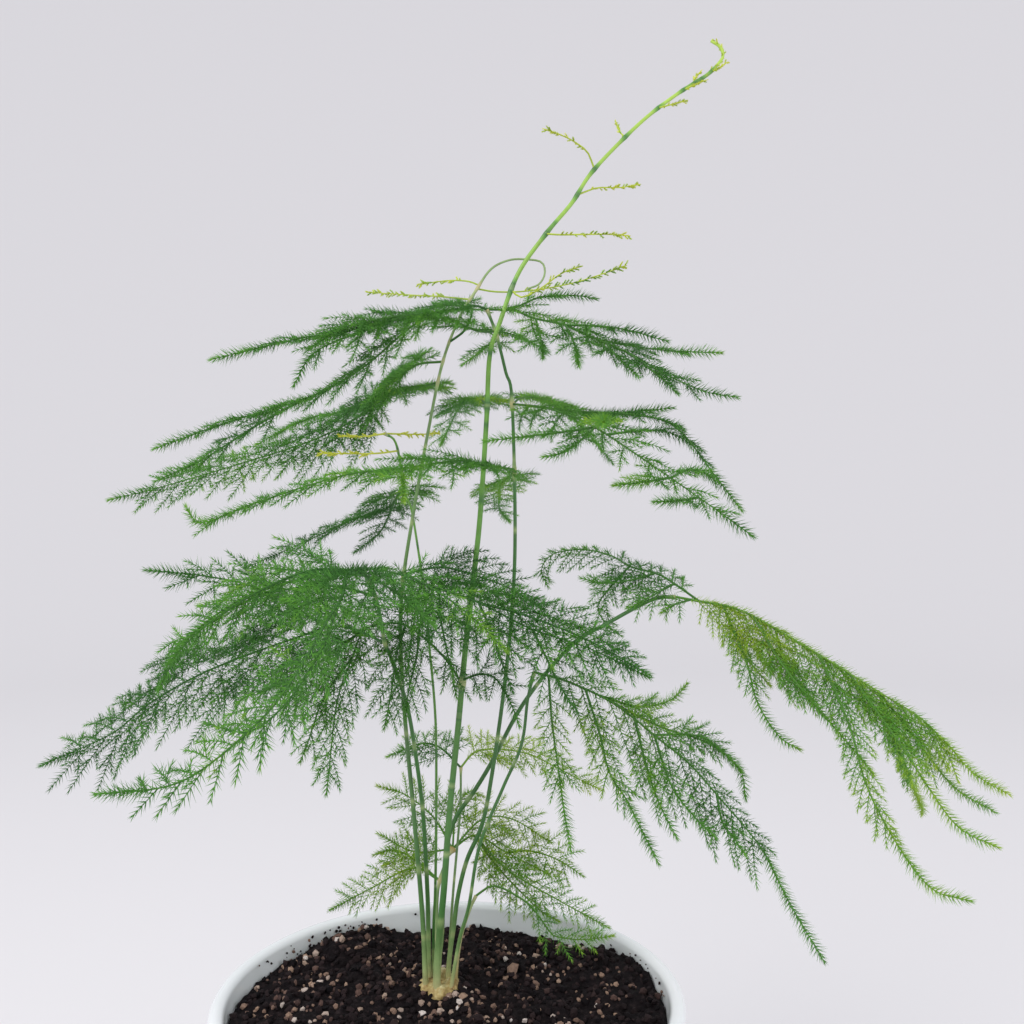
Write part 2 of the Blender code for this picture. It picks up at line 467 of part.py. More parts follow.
def make_soil(collection):
    """Soil that fills the pot up to its floor and wall, with a crumbly top."""
    bottom = POT_FLOOR + GAP
    side = inner_radius(POT_HEIGHT)
    levels = [(side * ring / SOIL_RINGS, None) for ring in range(1, SOIL_RINGS + 1)]
    levels.append((inner_radius(bottom) - GAP, bottom))
    bm = bmesh.new()
    top = bm.verts.new((0, 0, soil_height(0, 0)))
    base = bm.verts.new((0, 0, bottom))
    rings = []
    for radius, height in levels:
        ring = []
        for step in range(SOIL_STEPS):
            angle = 2 * math.pi * step / SOIL_STEPS
            x = radius * math.cos(angle)
            y = radius * math.sin(angle)
            level = soil_height(x, y) if height is None else height
            inward = min((inner_radius(level) - GAP) / radius, 1)
            ring.append(bm.verts.new((x * inward, y * inward, level)))
        rings.append(ring)
    for step in range(SOIL_STEPS):
        following = (step + 1) % SOIL_STEPS
        bm.faces.new((top, rings[0][step], rings[0][following]))
        bm.faces.new((base, rings[-1][following], rings[-1][step]))
        for inner, outer in zip(rings, rings[1:]):
            bm.faces.new((inner[step], outer[step], outer[following], inner[following]))
    bmesh.ops.triangulate(bm, faces=bm.faces[:])
    return new_object("soil", mesh_from(bm, "soil"), collection, "soil")


def lump(name, centre, radii, growth, collection):
    """An egg-shaped lump, with its radii in mm."""
    bm = bmesh.new()
    bmesh.ops.create_icosphere(bm, subdivisions=2, radius=1)
    size = Matrix.Diagonal([radius * MM + growth for radius in radii]).to_4x4()
    place = Matrix.Translation(Vector(centre) * MM)
    bmesh.ops.transform(bm, matrix=place @ size, verts=bm.verts)
    return new_object(name, mesh_from(bm, name), collection)


def fuse(main, others):
    """Join everything in a collection into one object with one Boolean union."""
    union = main.modifiers.new("union", "BOOLEAN")
    union.operation = "UNION"
    union.operand_type = "COLLECTION"
    union.collection = others
    union.solver = "MANIFOLD"
    mesh = evaluated_mesh(main)
    main.modifiers.remove(union)
    for item in list(others.objects):
        bpy.data.objects.remove(item)
    bpy.data.collections.remove(others)
    keep_outer_body(mesh)
    main.data = mesh


def evaluated_mesh(item):
    depsgraph = bpy.context.evaluated_depsgraph_get()
    return bpy.data.meshes.new_from_object(item.evaluated_get(depsgraph))


def keep_outer_body(mesh):
    """Keep the largest connected shell: it drops loose scraps and fills sealed hollows."""
    bm = bmesh.new()
    bm.from_mesh(mesh)
    waiting = set(bm.verts)
    shells = []
    while waiting:
        start = waiting.pop()
        shell = [start]
        front = [start]
        while front:
            vert = front.pop()
            for edge in vert.link_edges:
                other = edge.other_vert(vert)
                if other in waiting:
                    waiting.remove(other)
                    shell.append(other)
                    front.append(other)
        shells.append(shell)
    shells.sort(key=len)
    for shell in shells[:-1]:
        bmesh.ops.delete(bm, geom=shell, context="VERTS")
    bm.to_mesh(mesh)
    bm.free()


def add_cut(item, cutters):
    cut = item.modifiers.new("holes", "BOOLEAN")
    cut.operation = "DIFFERENCE"
    cut.operand_type = "COLLECTION"
    cut.collection = cutters


def make_crown(collection, cutters):
    """The rootstock, joined from lumps, with a plain hole for each stem."""
    lumps = new_collection("lumps")
    (centre, radii), others = CROWN_LUMPS[0], CROWN_LUMPS[1:]
    crown = lump("crown", centre, radii, 0, collection)
    for number, (centre, radii) in enumerate(others):
        lump(f"lump_{number}", centre, radii, 0, lumps)
    fuse(crown, lumps)
    crown.data.materials.clear()
    crown.data.materials.append(material("tan"))
    crown.data.shade_smooth()
    for name, stem in STEMS.items():
        foot, above = smooth_points(stem.points, STEM_SPAN, STEM_BEND)[:2]
        below = foot + (foot - above).normalized() * GAP
        radius = stem.foot_radius * MM + GAP
        hide_cutter(tube(f"hole_{name}", [below, above], [radius] * 2, cutters))
    add_cut(crown, cutters)
    return crown


def hide_cutter(item):
    item.hide_render = True
    item.display_type = "WIRE"


def smooth_points(points, span, bend):
    """Points on a smooth curve through the given ones, closer together where it bends."""
    given = [Vector(point) * MM for point in points]
    dense = []
    ends = [given[0] * 2 - given[1]] + given + [given[-1] * 2 - given[-2]]
    for before, start, end, after in zip(ends, ends[1:], ends[2:], ends[3:]):
        for step in range(8):
            dense.append(spline_point(before, start, end, after, step / 8))
    dense.append(given[-1])
    chosen = [dense[0]]
    heading = (dense[1] - dense[0]).normalized()
    for point, following in zip(dense[1:], dense[2:]):
        ahead = (following - point).normalized()
        far = (following - chosen[-1]).length > span
        if far or ahead.angle(heading) > bend:
            chosen.append(point)
            heading = ahead
    if (dense[-1] - chosen[-1]).length < 1.2 * MM:
        chosen.pop()
    chosen.append(dense[-1])
    return chosen


def spline_point(before, start, end, after, t):
    """A point between start and end on a Catmull-Rom curve."""
    return 0.5 * (2 * start + (end - before) * t
                  + (2 * before - 5 * start + 4 * end - after) * t ** 2
                  + (3 * start - before - 3 * end + after) * t ** 3)


def tube(name, points, radii, collection):
    """A closed round tube through the points, as a mesh object."""
    curve = bpy.data.curves.new(name, "CURVE")
    curve.dimensions = "3D"
    curve.bevel_depth = 1
    curve.bevel_resolution = 1
    curve.use_fill_caps = True
    spline = curve.splines.new("POLY")
    spline.points.add(len(points) - 1)
    for place, point, radius in zip(spline.points, points, radii):
        place.co = (*point, 1)
        place.radius = radius
    guide = bpy.data.objects.new(name, curve)
    collection.objects.link(guide)
    mesh = evaluated_mesh(guide)
    bpy.data.objects.remove(guide)
    bm = bmesh.new()
    bm.from_mesh(mesh)
    bmesh.ops.remove_doubles(bm, verts=bm.verts, dist=0.00001)
    bmesh.ops.triangulate(bm, faces=bm.faces[:])
    bm.to_mesh(mesh)
    bm.free()
    mesh.shade_smooth()
    return new_object(name, mesh, collection)


class Space:
    """Where every stem's pieces are, as thick lines, so that other stems can keep clear."""

    CELL = 8 * MM

    def __init__(self):
        self.cells = {}

    def cells_near(self, start, end, margin):
        low = [math.floor((min(a, b) - margin) / self.CELL) for a, b in zip(start, end)]
        high = [math.floor((max(a, b) + margin) / self.CELL) for a, b in zip(start, end)]
        for i in range(low[0], high[0] + 1):
            for j in range(low[1], high[1] + 1):
                for k in range(low[2], high[2] + 1):
                    yield (i, j, k)

    def add(self, owner, start, end, radius):
        line = (owner, start.copy(), end.copy(), radius)
        for cell in self.cells_near(start, end, radius):
            self.cells.setdefault(cell, []).append(line)

    def is_free(self, owner, start, end, radius):
        """Whether a thick line keeps clear of every other stem."""
        for cell in self.cells_near(start, end, radius + 1.5 * MM):
            for other, a, b, thickness in self.cells.get(cell, ()):
                if other == owner:
                    continue
                if line_distance(start, end, a, b) < radius + thickness + CLEARANCE:
                    return False
        return True


def line_distance(a, b, c, d):
    """Shortest distance between the stretches a to b and c to d."""
    u = b - a
    v = d - c
    w = a - c
    uu, uv, vv, uw, vw = u.dot(u), u.dot(v), v.dot(v), u.dot(w), v.dot(w)
    spread = uu * vv - uv * uv
    s = min(max((uv * vw - vv * uw) / spread, 0), 1) if spread > 1e-18 else 0
    t = min(max((uv * s + vw) / vv, 0), 1) if vv > 1e-18 else 0
    s = min(max((uv * t - uw) / uu, 0), 1) if uu > 1e-18 else 0
    return (w + u * s - v * t).length


Ring = namedtuple("Ring", "centre ahead radius turn")


def ring_corners(ring, across):
    """Three corners of a branch's section."""
    side = (across - ring.ahead * across.dot(ring.ahead)).normalized()
    other = ring.ahead.cross(side)
    corners = []
    for corner in range(3):
        angle = math.radians(120 * corner + 60 * ring.turn)
        corners.append(ring.centre + (side * math.cos(angle) + other * math.sin(angle))
                       * ring.radius)
    return corners


def place_along(points, distance):
    """The point and direction at a distance along a line of points."""
    for start, end in zip(points, points[1:]):
        length = (end - start).length
        if distance <= length:
            break
        distance -= length
    ahead = (end - start).normalized()
    return start + ahead * min(distance, length), ahead


def route_length(points):
    return sum((b - a).length for a, b in zip(points, points[1:]))


def branch_rings(points, radii, first, spacing, section_room):
    """Sections along a branch: a turned pair for each ring of needles, and plain ones between.

    A plain section keeps section_room from a pair.
    """
    length = route_length(points)
    last = length - TIP_LENGTH
    pairs = max(round((last - first) / spacing) + 1, 1)
    step = (last - first) / max(pairs - 1, 1)
    stops = [(min(first, last) + step * pair, True) for pair in range(pairs)]
    if first > LONG_ROOT:
        stops.append((ROOT_LENGTH, False))
    walked = 0
    for start, end in zip(points, points[1:-1]):
        walked += (end - start).length
        if all(abs(walked - distance) > section_room for distance, _ in stops):
            stops.append((walked, False))
    rings = []

    def add(distance, turn):
        centre, ahead = place_along(points, distance)
        share = distance / length
        rings.append(Ring(centre, ahead, radii[0] * (1 - share) + radii[1] * share, turn))

    turn = 0
    for distance, has_needles in sorted(stops):
        add(distance, turn)
        if has_needles:
            turn = 1 - turn
            add(distance + RING_WIDTH, turn)
    return rings


def branch_faces(bm, points, rings):
    """The faces of a three-sided branch. It returns those that needles grow from."""
    across = UP if abs(rings[0].ahead.dot(UP)) < 0.8 else Vector((1, 0, 0))
    loops = [[bm.verts.new(corner) for corner in ring_corners(ring, across)] for ring in rings]
    root = bm.verts.new(points[0])
    tip = bm.verts.new(points[-1])
    growing = []
    for corner in range(3):
        following = (corner + 1) % 3
        bm.faces.new((root, loops[0][following], loops[0][corner]))
        bm.faces.new((tip, loops[-1][corner], loops[-1][following]))
        for index, (low, high) in enumerate(zip(loops, loops[1:])):
            if rings[index].turn == rings[index + 1].turn:
                bm.faces.new((low[corner], low[following], high[following], high[corner]))
                continue
            shift = corner if rings[index + 1].turn else following
            after = (shift + 1) % 3
            lower = bm.faces.new((low[corner], low[following], high[shift]))
            upper = bm.faces.new((low[following], high[after], high[shift]))
            growing += [(rings[index], lower), (rings[index], upper)]
    bmesh.ops.recalc_face_normals(bm, faces=bm.faces[:])
    if bm.calc_volume(signed=True) < 0:
        bmesh.ops.reverse_faces(bm, faces=bm.faces[:])
    return growing


def needle_branch(name, owner, points, radii, first, spacing, section_room, needle, space,
                  collection):
    """A slim three-sided branch with rings of six needles drawn out of its sides.

    Both ends are points. The first sits on what carries the branch. A needle that would come
    near another stem is left out.
    """
    bm = bmesh.new()
    rings = branch_rings(points, radii, first, spacing, section_room)
    for ring, face in branch_faces(bm, points, rings):
        middle = face.calc_center_median()
        outward = middle - ring.centre
        outward = (outward - ring.ahead * outward.dot(ring.ahead)).normalized()
        end = middle + (outward + ring.ahead * NEEDLE_LEAN).normalized() * needle
        if end.z < FOLIAGE_FLOOR or not space.is_free(owner, middle, end, NEEDLE_RADIUS):
            continue
        space.add(owner, middle, end, NEEDLE_RADIUS)
        grown = bmesh.ops.poke(bm, faces=[face])["verts"][0]
        grown.co = end
    bmesh.ops.triangulate(bm, faces=[face for face in bm.faces if len(face.verts) > 3])
    return new_object(name, mesh_from(bm, name), collection)


def side_branches(frond, number, space):
    """The side branches of a frond, each as a list of points."""
    rng = random.Random(number)
    length = route_length(frond.points)
    distance = frond.bare * MM
    side = 1
    branches = []
    while distance < length - min(length / 4, PLAIN_TIP):
        share = distance / length
        envelope = min(0.6 + 3 * share, 1) * (1 - 0.72 * share)
        _, ahead = place_along(frond.points, distance)
        width = 1 if faces_front(ahead, side) else frond.back
        reach = frond.reach * MM * envelope * width * rng.uniform(0.9, 1.1)
        spread = math.radians(frond.spread - 14 * share + rng.uniform(-5, 5))
        branch = side_branch(frond, distance, side, reach, spread, space)
        if branch:
            branches.append(branch)
        side = -side
        distance += SIDE_SPACING * rng.uniform(0.85, 1.15)
    return branches


def faces_front(ahead, side):
    return ahead.cross(UP).y * side < 0


def frond_normal(frond, ahead, side):
    """The frond's face on one side of its axis: it falls to the front and rises to the back."""
    slope = math.radians(frond.fall if faces_front(ahead, side) else frond.rise)
    reference = Vector((0, -math.sin(slope), math.cos(slope)))
    normal = reference - ahead * ahead.dot(reference)
    if normal.length < 0.25:
        front = Vector((0, -1, 0))
        normal = front - ahead * ahead.dot(front)
    return normal.normalized()


def side_branch(frond, distance, side, reach, spread, space):
    """One side branch, cut short where it would come near another stem."""
    start, ahead = place_along(frond.points, distance)
    across = ahead.cross(frond_normal(frond, ahead, side)).normalized() * side
    heading = ahead * math.cos(spread) + across * math.sin(spread)
    steps = max(round(reach / BRANCH_STEP), 1)
    points = [start]
    for _ in range(steps):
        end = points[-1] + heading * (reach / steps)
        near = not space.is_free(frond.stem, points[-1], end, TWIG_RADIUS + 0.3 * MM)
        if near or end.z < FOLIAGE_FLOOR:
            break
        points.append(end)
        heading = (heading + ahead * BRANCH_TURN - UP * frond.hang * 2).normalized()
    if route_length(points) < 3.5 * MM:
        return None
    for a, b in zip(points, points[1:]):
        space.add(frond.stem, a, b, TWIG_RADIUS)
    return points


def shortened(route):
    """The route without its very end, so that what starts on it is sunk in."""
    back = (route[-2] - route[-1]).normalized()
    return route[:-1] + [route[-1] + back * SUNK_ROOT]


def nearest_point(routes, point):
    """The point on any of the routes that lies nearest."""
    best = None
    for route in routes:
        for a, b in zip(route, route[1:]):
            along = b - a
            t = min(max((point - a).dot(along) / along.length_squared, 0), 1)
            candidate = a + along * t
            if best is None or (candidate - point).length < (best - point).length:
                best = candidate
    return best


def place_fronds(stem_routes, space):
    """Every frond with the points of its axis, started on the stem or frond that carries it."""
    carried = {name: [shortened(route)] for name, route in stem_routes.items()}
    placed = []
    for frond in FRONDS:
        first = nearest_point(carried[frond.stem], Vector(frond.points[0]) * MM)
        points = (tuple(first / MM),) + frond.points[1:]
        axis = smooth_points(points, AXIS_SPAN, AXIS_BEND)
        carried[frond.stem].append(shortened(axis))
        placed.append(frond._replace(points=axis))
        for a, b in zip(axis, axis[1:]):
            space.add(frond.stem, a, b, AXIS_RADIUS)
    return placed


def axis_needles(frond):
    """Length, spacing and first place of the needles that grow from a frond's own axis.

    A young shoot has small buds and a plume long needles, all along. A fan has them on its
    side branches, and on its axis only towards the tip.
    """
    if frond.young:
        return BUD_LENGTH, BUD_SPACING, frond.bare * MM
    if frond.reach <= FAN_REACH:
        return PLUME_NEEDLE_LENGTH, RING_SPACING, frond.bare * MM
    return NEEDLE_LENGTH, RING_SPACING, route_length(frond.points) - RING_SPACING - TIP_LENGTH


def make_stem(name, stem, route, fronds, collection, space):
    """One leafy stem: the stem itself fused with its fronds, side branches and needles."""
    radii = []
    total = route_length(route)
    walked = 0
    for index, point in enumerate(route):
        walked += (point - route[index - 1]).length if index else 0
        share = walked / total
        radii.append((stem.foot_radius * (1 - share) + stem.tip_radius * share) * MM)
    body = tube(name, route, radii, collection)
    pieces = new_collection(f"pieces_{name}")
    for number, frond in fronds:
        needle, every, first = axis_needles(frond)
        needle_branch(f"axis_{number}", name, frond.points, (AXIS_RADIUS, AXIS_TIP_RADIUS),
                      first, every, AXIS_SECTION_ROOM, needle, space, pieces)
    for number, frond in fronds:
        if frond.reach <= FAN_REACH:
            continue
        for index, points in enumerate(side_branches(frond, number, space)):
            label = f"side_{number}_{index}"
            needle_branch(label, name, points, (TWIG_RADIUS, TWIG_RADIUS * 0.8), 3.4 * MM,
                          RING_SPACING, SIDE_SECTION_ROOM, NEEDLE_LENGTH, space, pieces)
    fuse(body, pieces)
    body.data.materials.clear()
    body.data.materials.append(material(stem.colour))
    return body


def main():
    clear_scene()
    parts = new_collection(OBJECT_NAME)
    crown_cutters = new_collection("crown_cutters")
    soil_cutters = new_collection("soil_cutters")
    make_pot(parts)
    soil = make_soil(parts)
    for number, (centre, radii) in enumerate(CROWN_LUMPS):
        hide_cutter(lump(f"hollow_{number}", centre, radii, GAP, soil_cutters))
    add_cut(soil, soil_cutters)
    make_crown(parts, crown_cutters)
    space = Space()
    routes = {name: smooth_points(stem.points, STEM_SPAN, STEM_BEND)
              for name, stem in STEMS.items()}
    for name, route in routes.items():
        for a, b in zip(route, route[1:]):
            space.add(name, a, b, STEMS[name].foot_radius * MM)
    fronds = place_fronds(routes, space)
    for name, stem in STEMS.items():
        own = [(number, frond) for number, frond in enumerate(fronds) if frond.stem == name]
        make_stem(name, stem, routes[name], own, parts, space)


main()
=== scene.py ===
"""The looks of a lace fern in a white pot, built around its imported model. Lengths in metres."""
import functools
import itertools
import math
import random
from collections import namedtuple

import bmesh
import bpy
import numpy as np
from mathutils import Matrix, Vector, noise


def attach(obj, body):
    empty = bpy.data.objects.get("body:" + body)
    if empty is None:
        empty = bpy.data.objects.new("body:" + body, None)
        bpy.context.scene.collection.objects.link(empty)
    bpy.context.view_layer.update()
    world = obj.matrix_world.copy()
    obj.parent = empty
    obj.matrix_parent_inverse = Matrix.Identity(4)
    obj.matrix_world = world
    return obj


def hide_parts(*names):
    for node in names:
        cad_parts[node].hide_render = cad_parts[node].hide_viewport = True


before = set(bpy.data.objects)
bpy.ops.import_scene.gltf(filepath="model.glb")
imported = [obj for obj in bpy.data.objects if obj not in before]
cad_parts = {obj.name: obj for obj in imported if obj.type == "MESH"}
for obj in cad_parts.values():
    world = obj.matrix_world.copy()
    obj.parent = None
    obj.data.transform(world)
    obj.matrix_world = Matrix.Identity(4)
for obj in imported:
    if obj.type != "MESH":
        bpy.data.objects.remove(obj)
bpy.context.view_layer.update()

MM = 0.001
UPWARD = np.array([0, 0, 1.0])

# Camera, which looks level along +Y
CAMERA_PLACE = (0.020, -0.330, 0.293)
CAMERA_TILT = 90
CAMERA_LENS = 36.04
CAMERA_CLIP = 0.01
SENSOR = 36

# Light: the room's, then place, size, power and colour of each lamp
ROOM_COLOUR = (0.93, 0.92, 0.95, 1)
ROOM_STRENGTH = 0.93
LAMP_TARGET = (0.02, 0, 0.25)
LAMPS = {
    "key": ((-0.7, -0.9, 1.1), 0.9, 11, (1, 0.99, 0.97)),
    "fill": ((1.1, -0.6, 0.6), 1.2, 4, (0.97, 0.98, 1)),
}

# Floor, which curves up into a wall all round
FLOOR_REACH = 1.6
FLOOR_CURVE = 0.9
FLOOR_CURVE_STEPS = 12
WALL_TOP = 3.2
FLOOR_STEPS = 96
FLOOR_COLOUR = (0.74, 0.735, 0.755)
FLOOR_ROUGHNESS = 0.9
MERGE_DISTANCE = 0.00002

# Pot
POT_HEIGHT = 140 * MM
POT_RIM_RADIUS = 75 * MM
POT_FOOT_RADIUS = 54 * MM
POT_WALL = 5 * MM
POT_FLOOR = 7 * MM
POT_FOOT_ROUNDING = 4 * MM
POT_RIM_PIECES = 16
POT_FOOT_PIECES = 8
POT_STEPS = 144

# Soil, which is highest in the middle and lower at the back
SOIL_WALL_HEIGHT = 133.5 * MM
SOIL_MOUND = 0.8 * MM
SOIL_DIP = 4 * MM
SOIL_GAP = 0.15 * MM
SOIL_FOOT_GAP = 0.3 * MM
SOIL_RINGS = 70
SOIL_STEPS = 200
CROWN_PLACE = (-3.8, 10.8)
# Heaps: place in x and y, height and width, in mm
HEAPS = ((-40, 50, 5, 17), (60, 30, 3.5, 17), (*CROWN_PLACE, 2.2, 10))
# Height and breadth of the soil's swells and clods, in mm
SWELLS = (2.2, 9)
CLODS = ((2, 3.6), (0.7, 1.3))

# Loose crumbs, and pale grit that lies in patches
CRUMBS = 3000
CRUMB_SEED = 7
CRUMB_MARGIN = 1.2 * MM
CRUMB_LIFT = 0.25
CRUMB_ROUGHNESS = 0.28
CRUMB_STRETCH = (0.65, 1.25)
CRUMB_TURN = 6.28
CRUMB_LONGEST_EDGE = 1.1
PATCH_SIZE = 13 * MM
PATCH_LAYER = 3
PATCH_STRENGTH = 0.5
CROWN_CLEARANCE = 6 * MM
# Kinds of crumb: the draw that each lies under, and its ranges of size in mm and of tone
CRUMB_KINDS = (
    (0.76, (0.4, 1.5), (0.0, 0.5)),
    (1.06, (0.5, 1.2), (0.5, 0.84)),
    (math.inf, (0.6, 1.1), (0.8, 0.95)),
)
# Single lumps: place in x and y, size and tone
LUMPS = ((1.6, 1.6, 1.5, 0.84), (4.2, 0.5, 1.3, 0.78), (-8, -7.7, 1.4, 0.93),
         (29, 40, 2.2, 0.82), (-44, 46, 2.5, 0.62), (-43, 42.5, 1.5, 0.92), (-53, 33, 1.6, 0.76),
         (-57, 27, 1.4, 0.8), (-50, 36, 1.3, 0.84), (20, 22, 2, 0.72))
LUMP_LIFT = 0.5 * MM
# Specks on the pot's inner wall: the middle of each patch in degrees, then their spread
SPECK_PATCHES = (127, 143, 24)
SPECKS_EACH = 34
SPECK_SPREAD = 9
SPECK_HEIGHTS = (-1, 4.5)
SPECK_SIZES = (0.2, 0.6)
SPECK_TONES = (0, 0.7)
SPECK_SINK = 0.6

# Crown: centre and radii of each lump, in mm
CROWN_LUMPS = (
    ((*CROWN_PLACE, 130.0), (7.4, 8.8, 8.0)),
    ((-7.6, 9.4, 134.4), (4.2, 5.0, 4.2)),
    ((-4.2, 5.6, 134.2), (4.2, 3.8, 4.6)),
    ((0.0, 9.0, 134.4), (3.8, 5.0, 4.6)),
    ((-4.0, 14.8, 134.6), (4.8, 4.4, 4.8)),
)
CROWN_DETAIL = 3
CROWN_VOXEL = 0.35 * MM
CROWN_SMOOTHING = 4
# Breadth in mm and height of the crown's knobs
KNOBS = ((2.6, 0.5), (1.1, 0.25))

# Canes, which are tan at the flared foot, at the swollen joints and at the scars
STEM_FOOT = 134.0
CANE_SIDES = 10
CANE_TONE_POWER = 1.5
FOOT_FLARE = 0.35
FLARE_LENGTH = 6 * MM
TAN_LENGTH = 9 * MM
JOINT_LENGTH = 1.6 * MM
JOINT_SWELLING = 0.3
JOINT_TAN = 0.45
SCAR_SPACING = 23 * MM
SCAR_LENGTH = MM
SCAR_TAN = 0.35
SCARRED_SHARE = 0.8

# Routes of stems and fronds
ROUTE_STEPS = 16
STEM_SPACING = 1.5 * MM
AXIS_SPACING = 2.5 * MM

# Foliage
AXIS_SIDES = 5
AXIS_RADIUS = 0.42 * MM
AXIS_TIP_RADIUS = 0.15 * MM
AXIS_TONES = (-0.05, 0.1)
TWIG_SIDES = 3
TWIG_RADIUS = 0.16 * MM
TWIG_TIP_RADIUS = 0.08 * MM
TWIG_STEP = 2.0 * MM
TWIG_TURN = 0.05
TWIG_ORDERS = 3
TWIG_LENGTHS = (0.75, 1.15)
TWIG_GAPS = (0.8, 1.2)
TWIG_RISE = 0.18
TWIG_TONE_SPREAD = 0.05
SPREAD_LOSS = 14
SPREAD_CHANCE = 7
PLAIN_SHARE = 0.5
LEAST_ACROSS = 0.25

# A frond with a longer reach is a fan, which opens at once and narrows. A slim one bulges.
FAN_REACH = 13
FAN_START = 0.6
FAN_OPENING = 3
FAN_NARROWING = 0.72
SLIM_LEAST = 0.35
SLIM_BULGE = 0.65
SLIM_START = 0.25

# Branchlets on a twig
LEAST_CARRIER = 7 * MM
FIRST_BRANCHLET = 2.4 * MM
BRANCHLET_SPACING = 2.5 * MM
BRANCHLET_LENGTHS = (0.7, 1.1)
BRANCHLET_SPREADS = (38, 54)
BRANCHLET_SHARE = 0.5
BRANCHED_SHARE = 0.66
UNBRANCHED_TIP = 1.5 * MM

# Needles. Their lean is in degrees, along a twig and at its tip, and the turn in radians.
FASCICLE_SPACING = 1.15 * MM
FIRST_FASCICLE = 1.2 * MM
NEEDLES = 5
TIP_NEEDLES = 7
NEEDLE_LENGTH = 3.6 * MM
NEEDLE_LENGTHS = (0.72, 1.08)
TWIG_NEEDLE_LENGTHS = (0.75, 1.0)
NEEDLE_RADIUS = 0.13 * MM
AXIS_NEEDLE_LENGTH = 0.95
TIP_NEEDLE_LENGTH = 1.05
NEEDLED_STALK = 0.7
NEEDLE_LEANS = (54, 20)
LEAN_SPREAD = 7
TURN_SPREAD = 0.25
TONE_SPREAD = 0.03
AXIS_NEEDLE_TONE = 0.03
TIP_LENGTH = 4 * MM
TIP_SHORTENING = 0.35
TIP_TONE = 0.08
FOLIAGE_FLOOR = 139 * MM
MOST_TRIANGLES = 190000
# Places of the two materials in a piece of foliage
NEEDLE_FINISH = 0
TWIG_FINISH = 1

# Young shoots: radius and taper in mm, and the buds
SHOOT_RADIUS = 0.32
SHOOT_TAPER = 0.14
SHOOT_TONE = 0.1
BUD_SPACING = 1.9 * MM
TIP_BUD_SPACING = 0.8 * MM
BUD_GAPS = (0.6, 1.2)
BUD_AHEAD = 0.8
BUD_OUTWARD = 0.6
BUD_SIZES = (0.2, 0.45)
BUD_TONES = (-0.18, 0.08)
BUD_NEEDLES = 9
BUD_LENGTH = 1.35 * MM
BUD_FIRST = 0.1 * MM
BUD_STEP = 0.5 * MM
BUD_LEANS = (40, 20)
SHOOT_TIP_STEP = 0.7 * MM
SHOOT_TIP_LEANS = (34, 10)
SHOOT_TIP_TONE = 0.05

Stem = namedtuple("Stem", "tone tip_tone foot_radius tip_radius points")
Frond = namedtuple("Frond", "reach points bare young tone hang fall rise back spread every"
                            " lace plain",
                   defaults=(7, False, 0.3, 0.035, 25, 25, 1, 62, 3.3, 11, 12))

